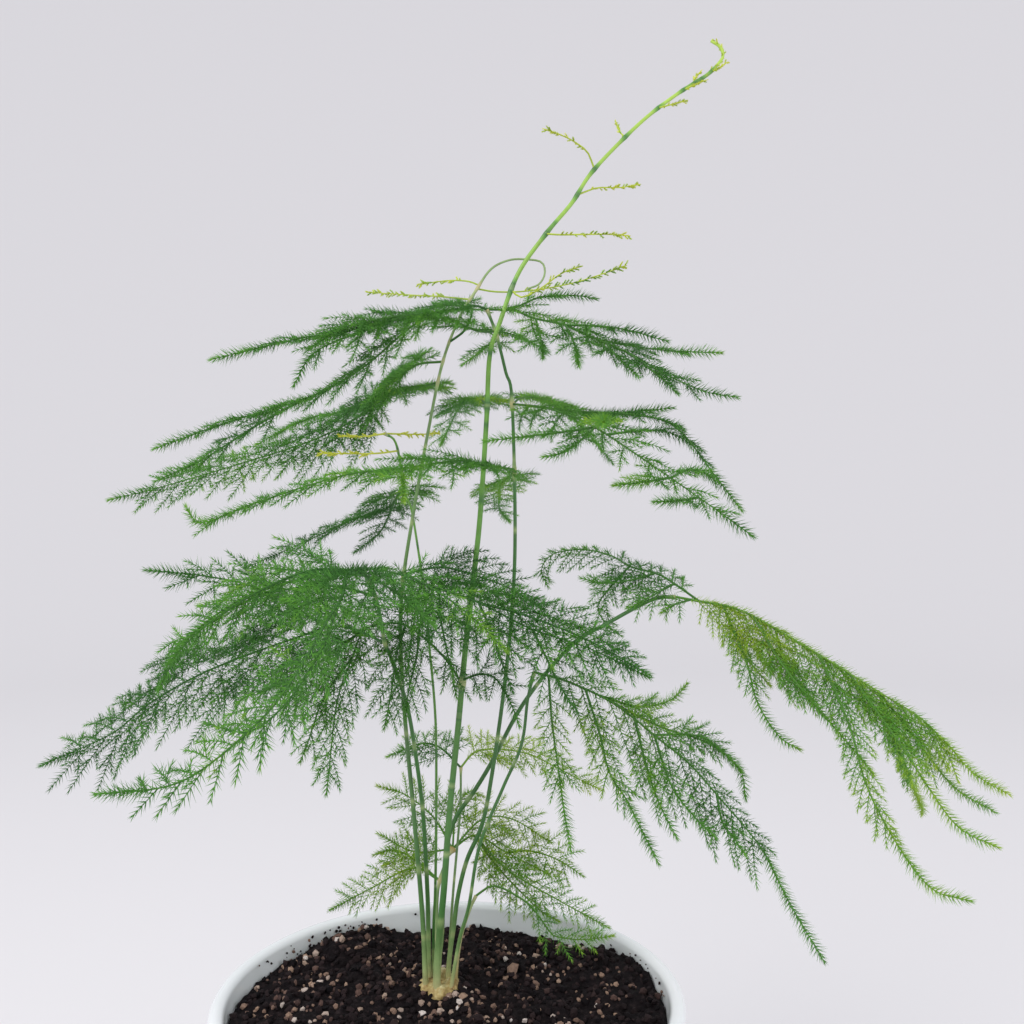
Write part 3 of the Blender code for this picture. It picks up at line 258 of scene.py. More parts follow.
# Stems: tone and radius, each low down and at the tip, and the points they pass, in mm
STEMS = {
    "stem_left": Stem(0.5, 0.37, 0.85, 0.32, (
        (-8.2, 7.5, STEM_FOOT), (-8.6, 7.2, 142), (-9, 7, 153), (-10, 6, 169), (-12, 3, 196),
        (-15, -2, 237), (-15, -6, 265), (-11, -9, 292), (-6, -10, 319), (-2, -6, 340),
        (3, 2, 356), (8, 5, 365), (13, 8, 373), (19, 12, 377), (25, 15, 378), (30, 15, 377),
        (31, 14, 373), (29, 12, 369), (25, 10, 367))),
    "stem_near": Stem(0.5, 0.5, 0.8, 0.5, (
        (-7.6, 11, STEM_FOOT), (-7.8, 11, 152), (-8, 9, 168), (-9, 3, 196), (-11, -5, 219),
        (-13, -11, 234), (-17, -18, 249), (-18, -24, 254), (-18, -42, 268), (-18, -68, 278))),
    "stem_thin": Stem(0.6, 0.7, 0.5, 0.35, (
        (-6.4, 13.4, STEM_FOOT), (-6.2, 13, 155), (-5.6, 12, 167), (-5, 8, 194), (-5, 5, 225),
        (-7, 3, 251), (-8, 2, 264), (-12, 0, 292), (-14, -3, 299), (-16, -11, 314),
        (-19, -16, 317))),
    "stem_new": Stem(0.5, 1, 1.15, 0.5, (
        (-4.6, 4.8, STEM_FOOT), (-4.5, 4.4, 145), (-4, 4, 152), (-2, 1, 171), (0, -1, 197),
        (3, -4, 226), (5, -6, 247), (8, -8, 273), (10, -8, 292), (12, -8, 322), (13, -8, 342),
        (16, -8, 352), (22, -8, 368), (31, -7, 381), (39, -5, 391), (46, -3, 402),
        (61, 0, 418), (73, 2, 428), (83, 4, 435), (87, 5, 439), (89, 5, 442), (88, 5, 445),
        (85, 5, 447))),
    "stem_back": Stem(0.45, 0.45, 0.5, 0.4, (
        (-1.8, 15.2, STEM_FOOT), (-1, 17, 148), (0, 19, 164), (2, 25, 189), (2, 31, 203))),
    "stem_arch": Stem(0.5, 0.5, 0.85, 0.6, (
        (-4.8, 9.2, STEM_FOOT), (-4.2, 11.5, 145), (-3.5, 13.5, 152), (-3, 14, 166),
        (-2, 14.5, 180), (1, 14.5, 190), (7, 13.5, 199), (13, 12.5, 209), (24, 9, 230),
        (39, 5, 249), (51, 2, 257), (65, -2, 265), (72, -4, 266))),
    "stem_centre": Stem(0.5, 0.5, 0.8, 0.5, (
        (-1.6, 11.8, STEM_FOOT), (-0.8, 12.3, 145), (0.5, 12.8, 154), (2, 12.5, 165),
        (5, 12, 177), (10, 10.5, 189), (13, 8.5, 204), (17, 5, 232), (20, 2, 261),
        (21, 0, 288), (20, 0, 329), (18, 0, 338), (15, 0, 350), (12, -1, 358))),
    "stem_right": Stem(0.5, 0.5, 0.6, 0.5, (
        (-0.4, 6, STEM_FOOT), (1, 5.5, 143), (3, 5, 154), (6, 4, 165), (9.5, 2, 185),
        (17, 0, 204), (23, -4, 219), (25, -6, 234), (27, -10, 243))),
    "stem_low": Stem(0.2, 0.35, 0.85, 0.5, (
        (0.8, 9.4, STEM_FOOT), (1.8, 8.6, 145), (3.4, 8.6, 154), (6, 11, 161), (8, 12, 165))),
    "stem_behind": Stem(0.45, 0.45, 0.6, 0.45, (
        (-5, 17, STEM_FOOT), (-6, 20, 143), (-6, 22, 149), (-5.5, 25, 163), (-3, 29, 171),
        (-1, 32, 174))),
}

# Colours along a scale from 0 to 1
LEAF_COLOURS = (
    (0.0, (0.016, 0.068, 0.016)),
    (0.3, (0.044, 0.160, 0.026)),
    (0.5, (0.098, 0.285, 0.030)),
    (0.75, (0.310, 0.450, 0.036)),
    (1.0, (0.600, 0.630, 0.070)),
)
TWIG_COLOURS = (
    (0.0, (0.014, 0.055, 0.016)),
    (0.3, (0.036, 0.120, 0.026)),
    (0.5, (0.085, 0.220, 0.034)),
    (0.75, (0.280, 0.430, 0.050)),
    (1.0, (0.540, 0.580, 0.080)),
)
CANE_COLOURS = (
    (0.0, (0.42, 0.29, 0.090)),
    (0.18, (0.44, 0.42, 0.20)),
    (0.35, (0.27, 0.38, 0.15)),
    (0.5, (0.052, 0.165, 0.038)),
    (0.7, (0.140, 0.330, 0.050)),
    (1.0, (0.420, 0.600, 0.085)),
)
GLAZE_COLOURS = (
    (0.3, (0.76, 0.80, 0.82)),
    (0.7, (0.82, 0.85, 0.87)),
)
SOIL_COLOURS = (
    (0.30, (0.003, 0.002, 0.003)),
    (0.55, (0.010, 0.007, 0.008)),
    (0.72, (0.032, 0.022, 0.023)),
)
GRAIN_COLOURS = (
    (0.0, (0.003, 0.002, 0.003)),
    (0.45, (0.024, 0.015, 0.016)),
    (0.6, (0.110, 0.065, 0.055)),
    (0.8, (0.330, 0.220, 0.160)),
    (0.95, (0.660, 0.600, 0.570)),
)
CROWN_COLOURS = (
    (0.3, (0.17, 0.09, 0.028)),
    (0.5, (0.42, 0.32, 0.12)),
    (0.66, (0.60, 0.54, 0.29)),
)

# Settings that several fronds share
PLUME = dict(tone=0.25, hang=0.06, fall=40, rise=40, every=2.5)
NEAR_PLUME = dict(tone=0.32, hang=0.05, fall=40, rise=40)
NEW_PLUME = dict(fall=60, rise=60, spread=46, every=2.2, plain=5)
SHOOT = dict(young=True, tone=0.85)
ARCH_PLUME = dict(tone=0.5, fall=55, rise=30, spread=42, every=1.6, lace=3, plain=30)
ARCH_TUFT = dict(bare=3, tone=0.39, fall=60, rise=20, every=2.1, plain=4)
FINE_PLUME = dict(tone=0.41, every=3.8, lace=6)
RIGHT_PLUME = dict(tone=0.4, fall=60, rise=60, spread=46, every=2, lace=3, plain=20)
BEHIND = dict(tone=0.54, fall=50, rise=50, every=1.7, plain=8)

# Fronds of each stem: reach of the side branches, and the points that the axis passes, in mm
LEFT_FRONDS = (
    Frond(28, ((-2, -6, 340), (-11, -2, 340), (-20, 4, 335), (-30, 8, 325), (-45, 8, 317),
        (-65, 5, 310), (-93, 0, 301), (-108, -3, 297)), tone=0.43, fall=38, rise=34, every=2.2),
    Frond(22, ((-3, -8, 334), (-10, 5, 334), (-15, 15, 334), (-24, 25, 333), (-38, 35, 329),
        (-54, 42, 327), (-74, 48, 318)), tone=0.4, fall=16, rise=16),
    Frond(14, ((1, -4, 347), (5, -3, 351), (7, 2, 358), (4, 8, 362), (-4, 14, 362), (-13, 20, 361),
        (-24, 24, 359), (-33, 26, 356)), bare=16, tone=0.35),
    Frond(10, ((5, -3, 351), (9, 2, 352), (13, 8, 353), (23, 16, 352), (32, 22, 348)), tone=0.35),
    Frond(28, ((-15, -7, 272), (-2, -22, 270), (11, -38, 267), (25, -48, 261), (41, -52, 256),
        (57, -50, 248)), tone=0.29, hang=0.07, fall=45, rise=45, every=2.6),
    Frond(20, ((-15, -7, 273), (-2, -14, 276), (8, -18, 274), (19, -20, 270), (29, -22, 264)),
        tone=0.29, hang=0.06, fall=45, rise=45, every=2.6),
    Frond(12, ((11, -38, 267), (14, -44, 260), (17, -47, 252), (20, -48, 244)), **PLUME),
    Frond(12, ((25, -48, 261), (29, -52, 254), (33, -54, 246), (37, -54, 240)), **PLUME),
    Frond(12, ((-2, -22, 270), (-1, -28, 262), (1, -32, 253), (3, -34, 245)), **PLUME),
    Frond(12, ((-8, -14, 274), (-9, -20, 264), (-10, -23, 255), (-11, -24, 247)), **PLUME),
    Frond(12, ((11, -38, 267), (25, -46, 264), (41, -51, 258), (57, -51, 249)), bare=4, tone=0.24,
        fall=45, rise=45, every=1.6, plain=6),
    Frond(5, ((9, 6, 366), (15, 10, 366), (25, 18, 368), (39, 26, 372), (50, 30, 376),
        (60, 32, 380)), bare=20, young=True, tone=0.8),
    Frond(4, ((9, 6, 367), (5, 12, 370), (-2, 20, 372), (-13, 30, 373)), bare=12, young=True,
        tone=0.8),
    Frond(4, ((6, 5, 363), (-5, 22, 367), (-15, 34, 370), (-33, 48, 374)), bare=18, young=True,
        tone=0.8),
)
NEAR_FRONDS = (
    Frond(20, ((-18, -68, 278), (-18, -92, 279), (-17, -106, 275), (-19, -114, 270),
        (-26, -121, 257), (-34, -122, 248), (-49, -118, 237), (-68, -112, 233)), tone=0.33,
        hang=0.05, fall=40, rise=40, every=2.9),
    Frond(38, ((-18, -24, 254), (-31, -25, 259), (-46, -26, 255), (-70, -26, 246), (-88, -24, 236),
        (-101, -21, 226), (-123, -18, 216)), tone=0.29, hang=0.05, fall=40, rise=40, every=2.8),
    Frond(22, ((-34, -25, 258), (-51, -40, 271), (-64, -45, 275), (-80, -48, 277)), tone=0.32,
        fall=30, rise=30),
    Frond(22, ((-18, -68, 278), (-34, -80, 276), (-45, -84, 272), (-57, -86, 263), (-64, -86, 251)),
        tone=0.33, hang=0.05, fall=40, rise=40),
    Frond(16, ((-17, -106, 275), (-23, -100, 262), (-31, -96, 250), (-41, -92, 242),
        (-52, -88, 243)), tone=0.32, fall=40, rise=40),
    Frond(18, ((-18, -45, 270), (-30, -52, 273), (-46, -58, 271), (-60, -60, 264), (-70, -60, 256)),
        **NEAR_PLUME),
    Frond(16, ((-18, -80, 279), (-28, -86, 279), (-40, -90, 274), (-52, -91, 266), (-60, -91, 258)),
        **NEAR_PLUME),
    Frond(16, ((-18, -58, 275), (-10, -62, 277), (0, -66, 273), (10, -68, 266), (18, -68, 258)),
        **NEAR_PLUME),
    Frond(12, ((-18, -92, 279), (-12, -96, 278), (-5, -99, 274), (2, -100, 268)), **NEAR_PLUME),
)
THIN_FRONDS = (
    Frond(20, ((-14, -3, 302), (-18, 15, 299), (-25, 35, 294), (-40, 50, 290), (-51, 55, 285),
        (-67, 60, 278), (-81, 62, 272)), tone=0.34),
    Frond(14, ((-22, 25, 296), (-28, 45, 286), (-39, 55, 278)), tone=0.34),
    Frond(4, ((-19, -16, 317), (-25, -18, 316), (-32, -20, 316)), bare=2, young=True, tone=0.95),
    Frond(4, ((-19, -16, 317), (-10, 0, 318), (-4, 8, 319)), bare=6, young=True, tone=0.95),
    Frond(4, ((-16, -12, 311), (-23, -14, 311), (-39, -16, 311)), bare=3, young=True, tone=0.95),
)
NEW_FRONDS = (
    Frond(24, ((3, -5, 239), (-1, -8, 247), (-11, -13, 257), (-18, -16, 259), (-25, -19, 257),
        (-28, -23, 249), (-32, -25, 237), (-34, -26, 219), (-35, -26, 210)), bare=18, hang=0.09,
        **NEW_PLUME),
    Frond(15, ((-28, -23, 249), (-36, -24, 238), (-41, -24, 224), (-43, -24, 219)), hang=0.09,
        **NEW_PLUME),
    Frond(10, ((4, -5, 240), (10, -14, 243), (15, -22, 243), (19, -28, 238), (22, -30, 231)),
        fall=60, rise=60),
    Frond(24, ((12, -8, 327), (9, 15, 331), (4, 40, 333), (-1, 65, 332), (-6, 85, 326),
        (-10, 100, 321)), bare=20, tone=0.42, fall=36, rise=36, every=4.6),
    Frond(12, ((-14, -14, 258), (-15, -20, 250), (-16, -23, 240), (-18, -24, 229)), bare=3,
        hang=0.06, **NEW_PLUME),
    Frond(12, ((-8, -12, 256), (-9, -18, 249), (-11, -21, 240), (-12, -22, 231)), bare=3, hang=0.06,
        **NEW_PLUME),
    Frond(10, ((-1, -8, 249), (1, -12, 246), (2, -16, 241), (3, -18, 237)), bare=3, hang=0.06,
        **NEW_PLUME),
    Frond(13, ((-24, -19, 257), (-34, -22, 251), (-43, -24, 242), (-45, -24, 232)), bare=3,
        hang=0.06, **NEW_PLUME),
    Frond(3, ((20, -8, 362), (23, -10, 360), (29, -14, 362), (35, -16, 366), (41, -17, 368)),
        **SHOOT),
    Frond(3, ((31, -7, 380), (35, -12, 379), (42, -16, 378), (49, -20, 377), (55, -22, 376)),
        **SHOOT),
    Frond(3, ((41, -5, 394), (43, -3, 395), (48, 2, 398), (55, 5, 399), (62, 8, 401)), **SHOOT),
    Frond(3, ((46, -3, 403), (44, -5, 407), (40, -8, 409), (36, -11, 410), (30, -14, 411)),
        **SHOOT),
    Frond(2, ((56, -1, 413), (55, 4, 417), (54, 6, 421)), bare=2, **SHOOT),
    Frond(2, ((67, 1, 423), (71, -3, 423), (75, -6, 423)), bare=2, **SHOOT),
    Frond(3, ((82, 4, 434), (86, 5, 438), (88.5, 5, 441), (89, 5, 444), (86, 5, 447)), bare=1,
        **SHOOT),
    Frond(2, ((75, 3, 429.5), (79, 1, 431), (82.5, 0, 432)), bare=1, **SHOOT),
    Frond(2, ((79, 3.5, 432), (80, 5, 435), (82, 6, 437.5)), bare=1, **SHOOT),
    Frond(2, ((84.5, 4, 436.5), (87, 3, 437), (89.5, 2, 438.5)), bare=1, **SHOOT),
)
BACK_FRONDS = (
    Frond(15, ((2, 31, 203), (-6, 40, 208), (-14, 46, 208), (-26, 52, 202)), tone=0.34, fall=40,
        rise=40, every=1.7, plain=6),
    Frond(15, ((2, 31, 203), (7, 38, 207), (16, 46, 206), (27, 50, 203), (40, 52, 196),
        (53, 54, 189)), tone=0.66, fall=40, rise=40, every=1.7, plain=6),
)
ARCH_FRONDS = (
    Frond(30, ((72, -4, 266), (78, -6, 265), (92, -10, 262), (111, -18, 251), (130, -24, 239),
        (141, -26, 232), (149, -27, 224), (156, -28, 216), (166, -28, 210)), tone=0.56, hang=0.08,
        fall=65, rise=-15, back=0.35, spread=42, every=1.4, lace=6, plain=24),
    Frond(8, ((109, -20, 245), (118, -32, 231), (121, -38, 215), (128, -42, 200), (137, -44, 188),
        (147, -45, 185)), hang=0.06, **ARCH_PLUME),
    Frond(8, ((120, -23, 244), (133, -33, 225), (139, -38, 214), (146, -41, 204), (156, -42, 199)),
        **ARCH_PLUME),
    Frond(8, ((130, -24, 239), (143, -20, 223), (155, -17, 209), (168, -15, 201)), **ARCH_PLUME),
    Frond(8, ((86, -8, 263), (92, -15, 247), (95, -16, 235), (101, -18, 225), (107, -18, 221)),
        **ARCH_PLUME),
    Frond(17, ((78, -6, 265), (72, -2, 270), (67, 2, 273), (59, 8, 275), (54, 12, 278),
        (47, 16, 280), (40, 20, 280), (33, 22, 278), (30, 22, 273), (32, 21, 268)), tone=0.39,
        hang=0.09, fall=60, rise=20, back=0.65, every=2.1, plain=3),
    Frond(8, ((95, -11, 260), (101, -20, 248), (108, -26, 238), (116, -30, 228), (124, -33, 218)),
        hang=0.05, **ARCH_PLUME),
    Frond(8, ((86, -8, 263), (90, -6, 255), (95, -4, 246), (102, -3, 238)), hang=0.05,
        **ARCH_PLUME),
    Frond(8, ((100, -14, 257), (104, -12, 248), (110, -10, 238), (118, -8, 229)), hang=0.05,
        **ARCH_PLUME),
    Frond(8, ((118, -21, 247), (128, -16, 237), (137, -12, 227), (146, -8, 218)), hang=0.05,
        **ARCH_PLUME),
    Frond(8, ((130, -24, 239), (140, -10, 222), (150, 5, 206), (158, 16, 194), (160, 20, 190)),
        hang=0.05, **ARCH_PLUME),
    Frond(11, ((67, 2, 273), (58, 0, 271), (50, 0, 270), (43, 1, 271.5)), hang=0.05, **ARCH_TUFT),
    Frond(9, ((72, -2, 270), (67, -6, 268), (61, -8, 265), (57, -8, 263)), hang=0.05, **ARCH_TUFT),
    Frond(7, ((76, -5, 266), (71, -9, 264), (67, -11, 262)), **ARCH_TUFT),
    Frond(7, ((59, 8, 275), (52, 6, 268), (48, 5, 262), (51, 4, 256), (55, 4, 253)), **ARCH_TUFT),
)
CENTRE_FRONDS = (
    Frond(22, ((12, -1, 358), (8, -7, 358), (1, -14, 355), (-13, -25, 351), (-30, -32, 345),
        (-41, -35, 343), (-66, -35, 337)), bare=10, tone=0.35, fall=14, rise=14),
    Frond(22, ((14, 0, 351), (9, -8, 350), (-1, -18, 352), (-9, -24, 349), (-24, -30, 335),
        (-40, -32, 326), (-64, -30, 319), (-86, -25, 312)), bare=12, tone=0.4, fall=14, rise=14),
    Frond(12, ((-40, -32, 326), (-53, -36, 318), (-68, -38, 308), (-81, -38, 302)), tone=0.35,
        fall=14, rise=14),
    Frond(22, ((20, 0, 306), (12, -22, 307), (5, -32, 308), (-11, -46, 305), (-26, -50, 303),
        (-49, -48, 296), (-67, -42, 290), (-72, -40, 294)), bare=18, tone=0.4, fall=16, rise=16),
    Frond(20, ((20, 0, 305), (19, 20, 305), (16, 45, 303), (15, 70, 299), (15, 90, 294),
        (19, 105, 289)), bare=20, tone=0.42, fall=36, rise=36, every=4.6),
    Frond(20, ((20, 0, 328), (24, 18, 332), (32, 38, 333), (40, 58, 331), (51, 75, 323),
        (61, 88, 313)), bare=20, tone=0.42, fall=36, rise=36, every=4.6),
    Frond(22, ((20, 0, 328), (27, -10, 326), (33, -18, 324), (44, -30, 318), (63, -47, 303),
        (73, -54, 295), (83, -60, 287)), bare=10, tone=0.41, hang=0.045, fall=16, rise=16,
        every=4.4, lace=6),
    Frond(10, ((27, -10, 326), (40, -12, 324), (48, -14, 323), (58, -14, 324), (69, -14, 325)),
        fall=12, rise=12, **FINE_PLUME),
    Frond(10, ((40, -14, 324), (57, -24, 322), (69, -25, 318), (81, -25, 303), (88, -25, 294)),
        fall=12, rise=12, **FINE_PLUME),
    Frond(22, ((12, -1, 358), (21, -4, 357), (27, -7, 354), (37, -11, 351), (48, -16, 345),
        (56, -19, 341), (67, -22, 334), (77, -25, 329), (86, -27, 327)), tone=0.41, fall=16,
        rise=16, every=4.4, lace=6),
    Frond(11, ((16, -2, 358), (23, 2, 360), (29, 4, 363), (40, 6, 364), (47, 6, 363)), fall=14,
        rise=14, **FINE_PLUME),
    Frond(11, ((37, -11, 352), (48, -8, 347), (66, -8, 344), (85, -8, 343)), fall=14, rise=14,
        **FINE_PLUME),
    Frond(12, ((15, 0, 350), (13, 9, 349), (9, 17, 347), (3, 24, 344)), tone=0.35),
    Frond(8, ((44, -30, 318), (36, -38, 316), (26, -42, 314.5), (13, -42, 313)), fall=10, rise=10,
        **FINE_PLUME),
    Frond(8, ((44, -30, 318), (38, -44, 312), (33, -50, 309), (29, -52, 308)), fall=10, rise=10,
        **FINE_PLUME),
    Frond(8, ((63, -47, 303), (55, -56, 301), (47, -62, 300)), bare=3, fall=10, rise=10,
        **FINE_PLUME),
    Frond(8, ((70, -52, 297), (64, -60, 296), (57, -66, 295.6)), bare=3, fall=10, rise=10,
        **FINE_PLUME),
    Frond(8, ((48, -33, 315), (58, -28, 317), (66, -24, 317), (73, -22, 314)), fall=10, rise=10,
        **FINE_PLUME),
    Frond(8, ((63, -47, 303), (70, -40, 305), (76, -34, 304), (80, -30, 302)), fall=10, rise=10,
        **FINE_PLUME),
    Frond(7, ((44, -30, 318), (44, -50, 318), (43, -70, 316), (42, -85, 314.5)), bare=16, tone=0.47,
        every=3.8, lace=6),
    Frond(9, ((37, -11, 351), (46, -16, 350), (55, -20, 348), (66, -22, 344.5)), fall=14, rise=14,
        **FINE_PLUME),
    Frond(9, ((27, -7, 354), (28, -14, 349), (29, -24, 343), (29, -32, 338)), fall=14, rise=14,
        **FINE_PLUME),
    Frond(9, ((37, -11, 351), (38, -20, 346), (39, -29, 340), (39, -36, 335)), fall=14, rise=14,
        **FINE_PLUME),
    Frond(9, ((48, -16, 345), (50, -24, 341), (53, -31, 336), (56, -36, 332)), fall=14, rise=14,
        **FINE_PLUME),
    Frond(9, ((56, -19, 341), (60, -27, 336), (64, -34, 331), (67, -38, 327)), fall=14, rise=14,
        **FINE_PLUME),
    Frond(13, ((-13, -25, 351), (-24, -34, 345), (-36, -40, 338), (-41, -42, 329)), tone=0.4),
    Frond(13, ((-8, -20, 352), (-18, -28, 350), (-28, -34, 346), (-38, -36, 340)), tone=0.4),
    Frond(9, ((-11, -46, 305), (-9, -62, 304), (-7, -76, 301), (-6, -84, 296)), bare=14, tone=0.45),
)
RIGHT_FRONDS = (
    Frond(34, ((27, -10, 243), (37, -15, 241), (51, -20, 235), (63, -24, 226), (73, -26, 218),
        (81, -28, 209), (88, -29, 201), (94, -30, 193), (101, -30, 179), (111, -30, 162)), tone=0.4,
        hang=0.09, fall=70, rise=35, back=0.4, spread=46, every=2.3, lace=3, plain=38),
    Frond(8, ((31, -12, 243), (32, -24, 230), (34, -30, 215), (35, -32, 207), (37, -32, 195)),
        hang=0.06, **RIGHT_PLUME),
    Frond(8, ((47, -19, 237), (59, -14, 233), (70, -8, 234), (75, -5, 238)), **RIGHT_PLUME),
    Frond(8, ((43, -18, 239), (46, -28, 227), (48, -34, 218), (53, -34, 210), (57, -34, 202),
        (62, -34, 192)), hang=0.06, **RIGHT_PLUME),
    Frond(8, ((63, -24, 226), (66, -34, 214), (72, -36, 206), (78, -36, 200)), hang=0.06,
        **RIGHT_PLUME),
    Frond(8, ((51, -20, 235), (66, -16, 227), (80, -14, 222), (90, -14, 214), (92, -14, 205)),
        **RIGHT_PLUME),
    Frond(8, ((57, -22, 230), (59, -30, 220), (62, -34, 210), (67, -36, 200)), hang=0.06,
        **RIGHT_PLUME),
    Frond(8, ((81, -28, 209), (81, -33, 203), (84, -36, 199), (86, -38, 196)), bare=3, hang=0.06,
        **RIGHT_PLUME),
    Frond(8, ((63, -24, 226), (76, -18, 225), (84, -16, 220), (90, -16, 214)), **RIGHT_PLUME),
)
LOW_FRONDS = (
    Frond(10, ((8, 12, 165), (14, 13, 168), (23, 15, 163), (28, 16, 158), (33, 16, 151),
        (36, 16, 149.5), (44, 14, 149.5), (53, 12, 151.5)), bare=26, tone=0.5, every=2.4, plain=6),
)
BEHIND_FRONDS = (
    Frond(17, ((-1, 32, 174), (7, 38, 177), (17, 42, 170), (33, 44, 161)), **BEHIND),
    Frond(14, ((7, 38, 177), (19, 30, 167), (37, 28, 157), (53, 26, 149)), **BEHIND),
    Frond(14, ((-5, 25, 165), (-15, 30, 168), (-30, 32, 160), (-44, 34, 152)), **BEHIND),
    Frond(12, ((-1, 32, 174), (-15, 38, 171), (-28, 42, 176)), **BEHIND),
    Frond(11, ((-1, 32, 174), (-8, 36, 184), (-18, 39, 191), (-28, 40, 194)), **BEHIND),
    Frond(10, ((-5, 25, 165), (-14, 32, 170), (-22, 37, 172), (-29, 38, 170)), **BEHIND),
    Frond(11, ((7, 38, 177), (14, 34, 168), (22, 32, 160), (30, 30, 153), (36, 30, 149.5)),
        **BEHIND),
    Frond(11, ((17, 42, 170), (27, 42, 170), (37, 41, 167), (45, 40, 162)), **BEHIND),
    Frond(11, ((-1, 32, 174), (9, 40, 182), (20, 44, 181), (34, 46, 172)), **BEHIND),
    Frond(9, ((-1, 32, 174), (0, 37, 186), (4, 40, 192), (9, 42, 190)), **BEHIND),
)
FRONDS = dict(stem_left=LEFT_FRONDS, stem_near=NEAR_FRONDS, stem_thin=THIN_FRONDS,
              stem_new=NEW_FRONDS, stem_back=BACK_FRONDS, stem_arch=ARCH_FRONDS,
              stem_centre=CENTRE_FRONDS, stem_right=RIGHT_FRONDS, stem_low=LOW_FRONDS,
              stem_behind=BEHIND_FRONDS)


def make_camera():
    camera = bpy.data.cameras.new("camera")
    camera.lens = CAMERA_LENS
    camera.sensor_width = SENSOR
    camera.clip_start = CAMERA_CLIP
    made = bpy.data.objects.new("camera", camera)
    bpy.context.scene.collection.objects.link(made)
    made.location = CAMERA_PLACE
    made.rotation_euler = (math.radians(CAMERA_TILT), 0, 0)
    bpy.context.scene.camera = made


def make_lamp(name, place, size, power, colour):
    light = bpy.data.lights.new(name, "AREA")
    light.shape = "DISK"
    light.size = size
    light.energy = power
    light.color = colour
    made = bpy.data.objects.new(name, light)
    bpy.context.scene.collection.objects.link(made)
    made.location = place
    aim = Vector(LAMP_TARGET) - Vector(place)
    made.rotation_euler = aim.to_track_quat("-Z", "Y").to_euler()


def make_light():
    bpy.context.scene.view_settings.view_transform = "Standard"
    world = bpy.data.worlds.new("room")
    bpy.context.scene.world = world
    world.use_nodes = True
    background = world.node_tree.nodes["Background"]
    background.inputs["Color"].default_value = ROOM_COLOUR
    background.inputs["Strength"].default_value = ROOM_STRENGTH
    for name, (place, size, power, colour) in LAMPS.items():
        make_lamp(name, place, size, power, colour)


def make_stage():
    """A pale floor that curves up into a pale wall all round."""
    profile = [(0, 0), (FLOOR_REACH, 0)]
    for step in range(1, FLOOR_CURVE_STEPS + 1):
        angle = math.radians(90 * step / FLOOR_CURVE_STEPS)
        profile.append((FLOOR_REACH + FLOOR_CURVE * math.sin(angle),
                        FLOOR_CURVE - FLOOR_CURVE * math.cos(angle)))
    profile.append((FLOOR_REACH + FLOOR_CURVE, WALL_TOP))
    floor = turned_piece("floor", profile, FLOOR_STEPS)
    floor.data.materials.append(plain_material("floor", FLOOR_COLOUR, FLOOR_ROUGHNESS))
    floor.visible_diffuse = False


def new_object(name, mesh):
    made = bpy.data.objects.new(name, mesh)
    bpy.context.scene.collection.objects.link(made)
    return made


def turned_piece(name, profile, steps):
    """A surface turned about Z from a profile of (radius, height), as a mesh."""
    mesh = bpy.data.meshes.new(name)
    points = [(radius, 0, height) for radius, height in profile]
    mesh.from_pydata(points, [(i, i + 1) for i in range(len(points) - 1)], [])
    made = new_object(name, mesh)
    screw = made.modifiers.new("turn", "SCREW")
    screw.steps = steps
    screw.render_steps = steps
    screw.use_merge_vertices = True
    screw.merge_threshold = MERGE_DISTANCE
    screw.use_smooth_shade = True
    apply_modifiers(made)
    return made


def apply_modifiers(item):
    depsgraph = bpy.context.evaluated_depsgraph_get()
    item.data = bpy.data.meshes.new_from_object(item.evaluated_get(depsgraph))
    item.modifiers.clear()


def arc(centre_x, centre_z, radius, start, end, pieces):
    """Points on an arc in the XZ plane, angles in degrees."""
    points = []
    for step in range(pieces + 1):
        angle = math.radians(start + (end - start) * step / pieces)
        points.append((centre_x + radius * math.cos(angle), centre_z + radius * math.sin(angle)))
    return points


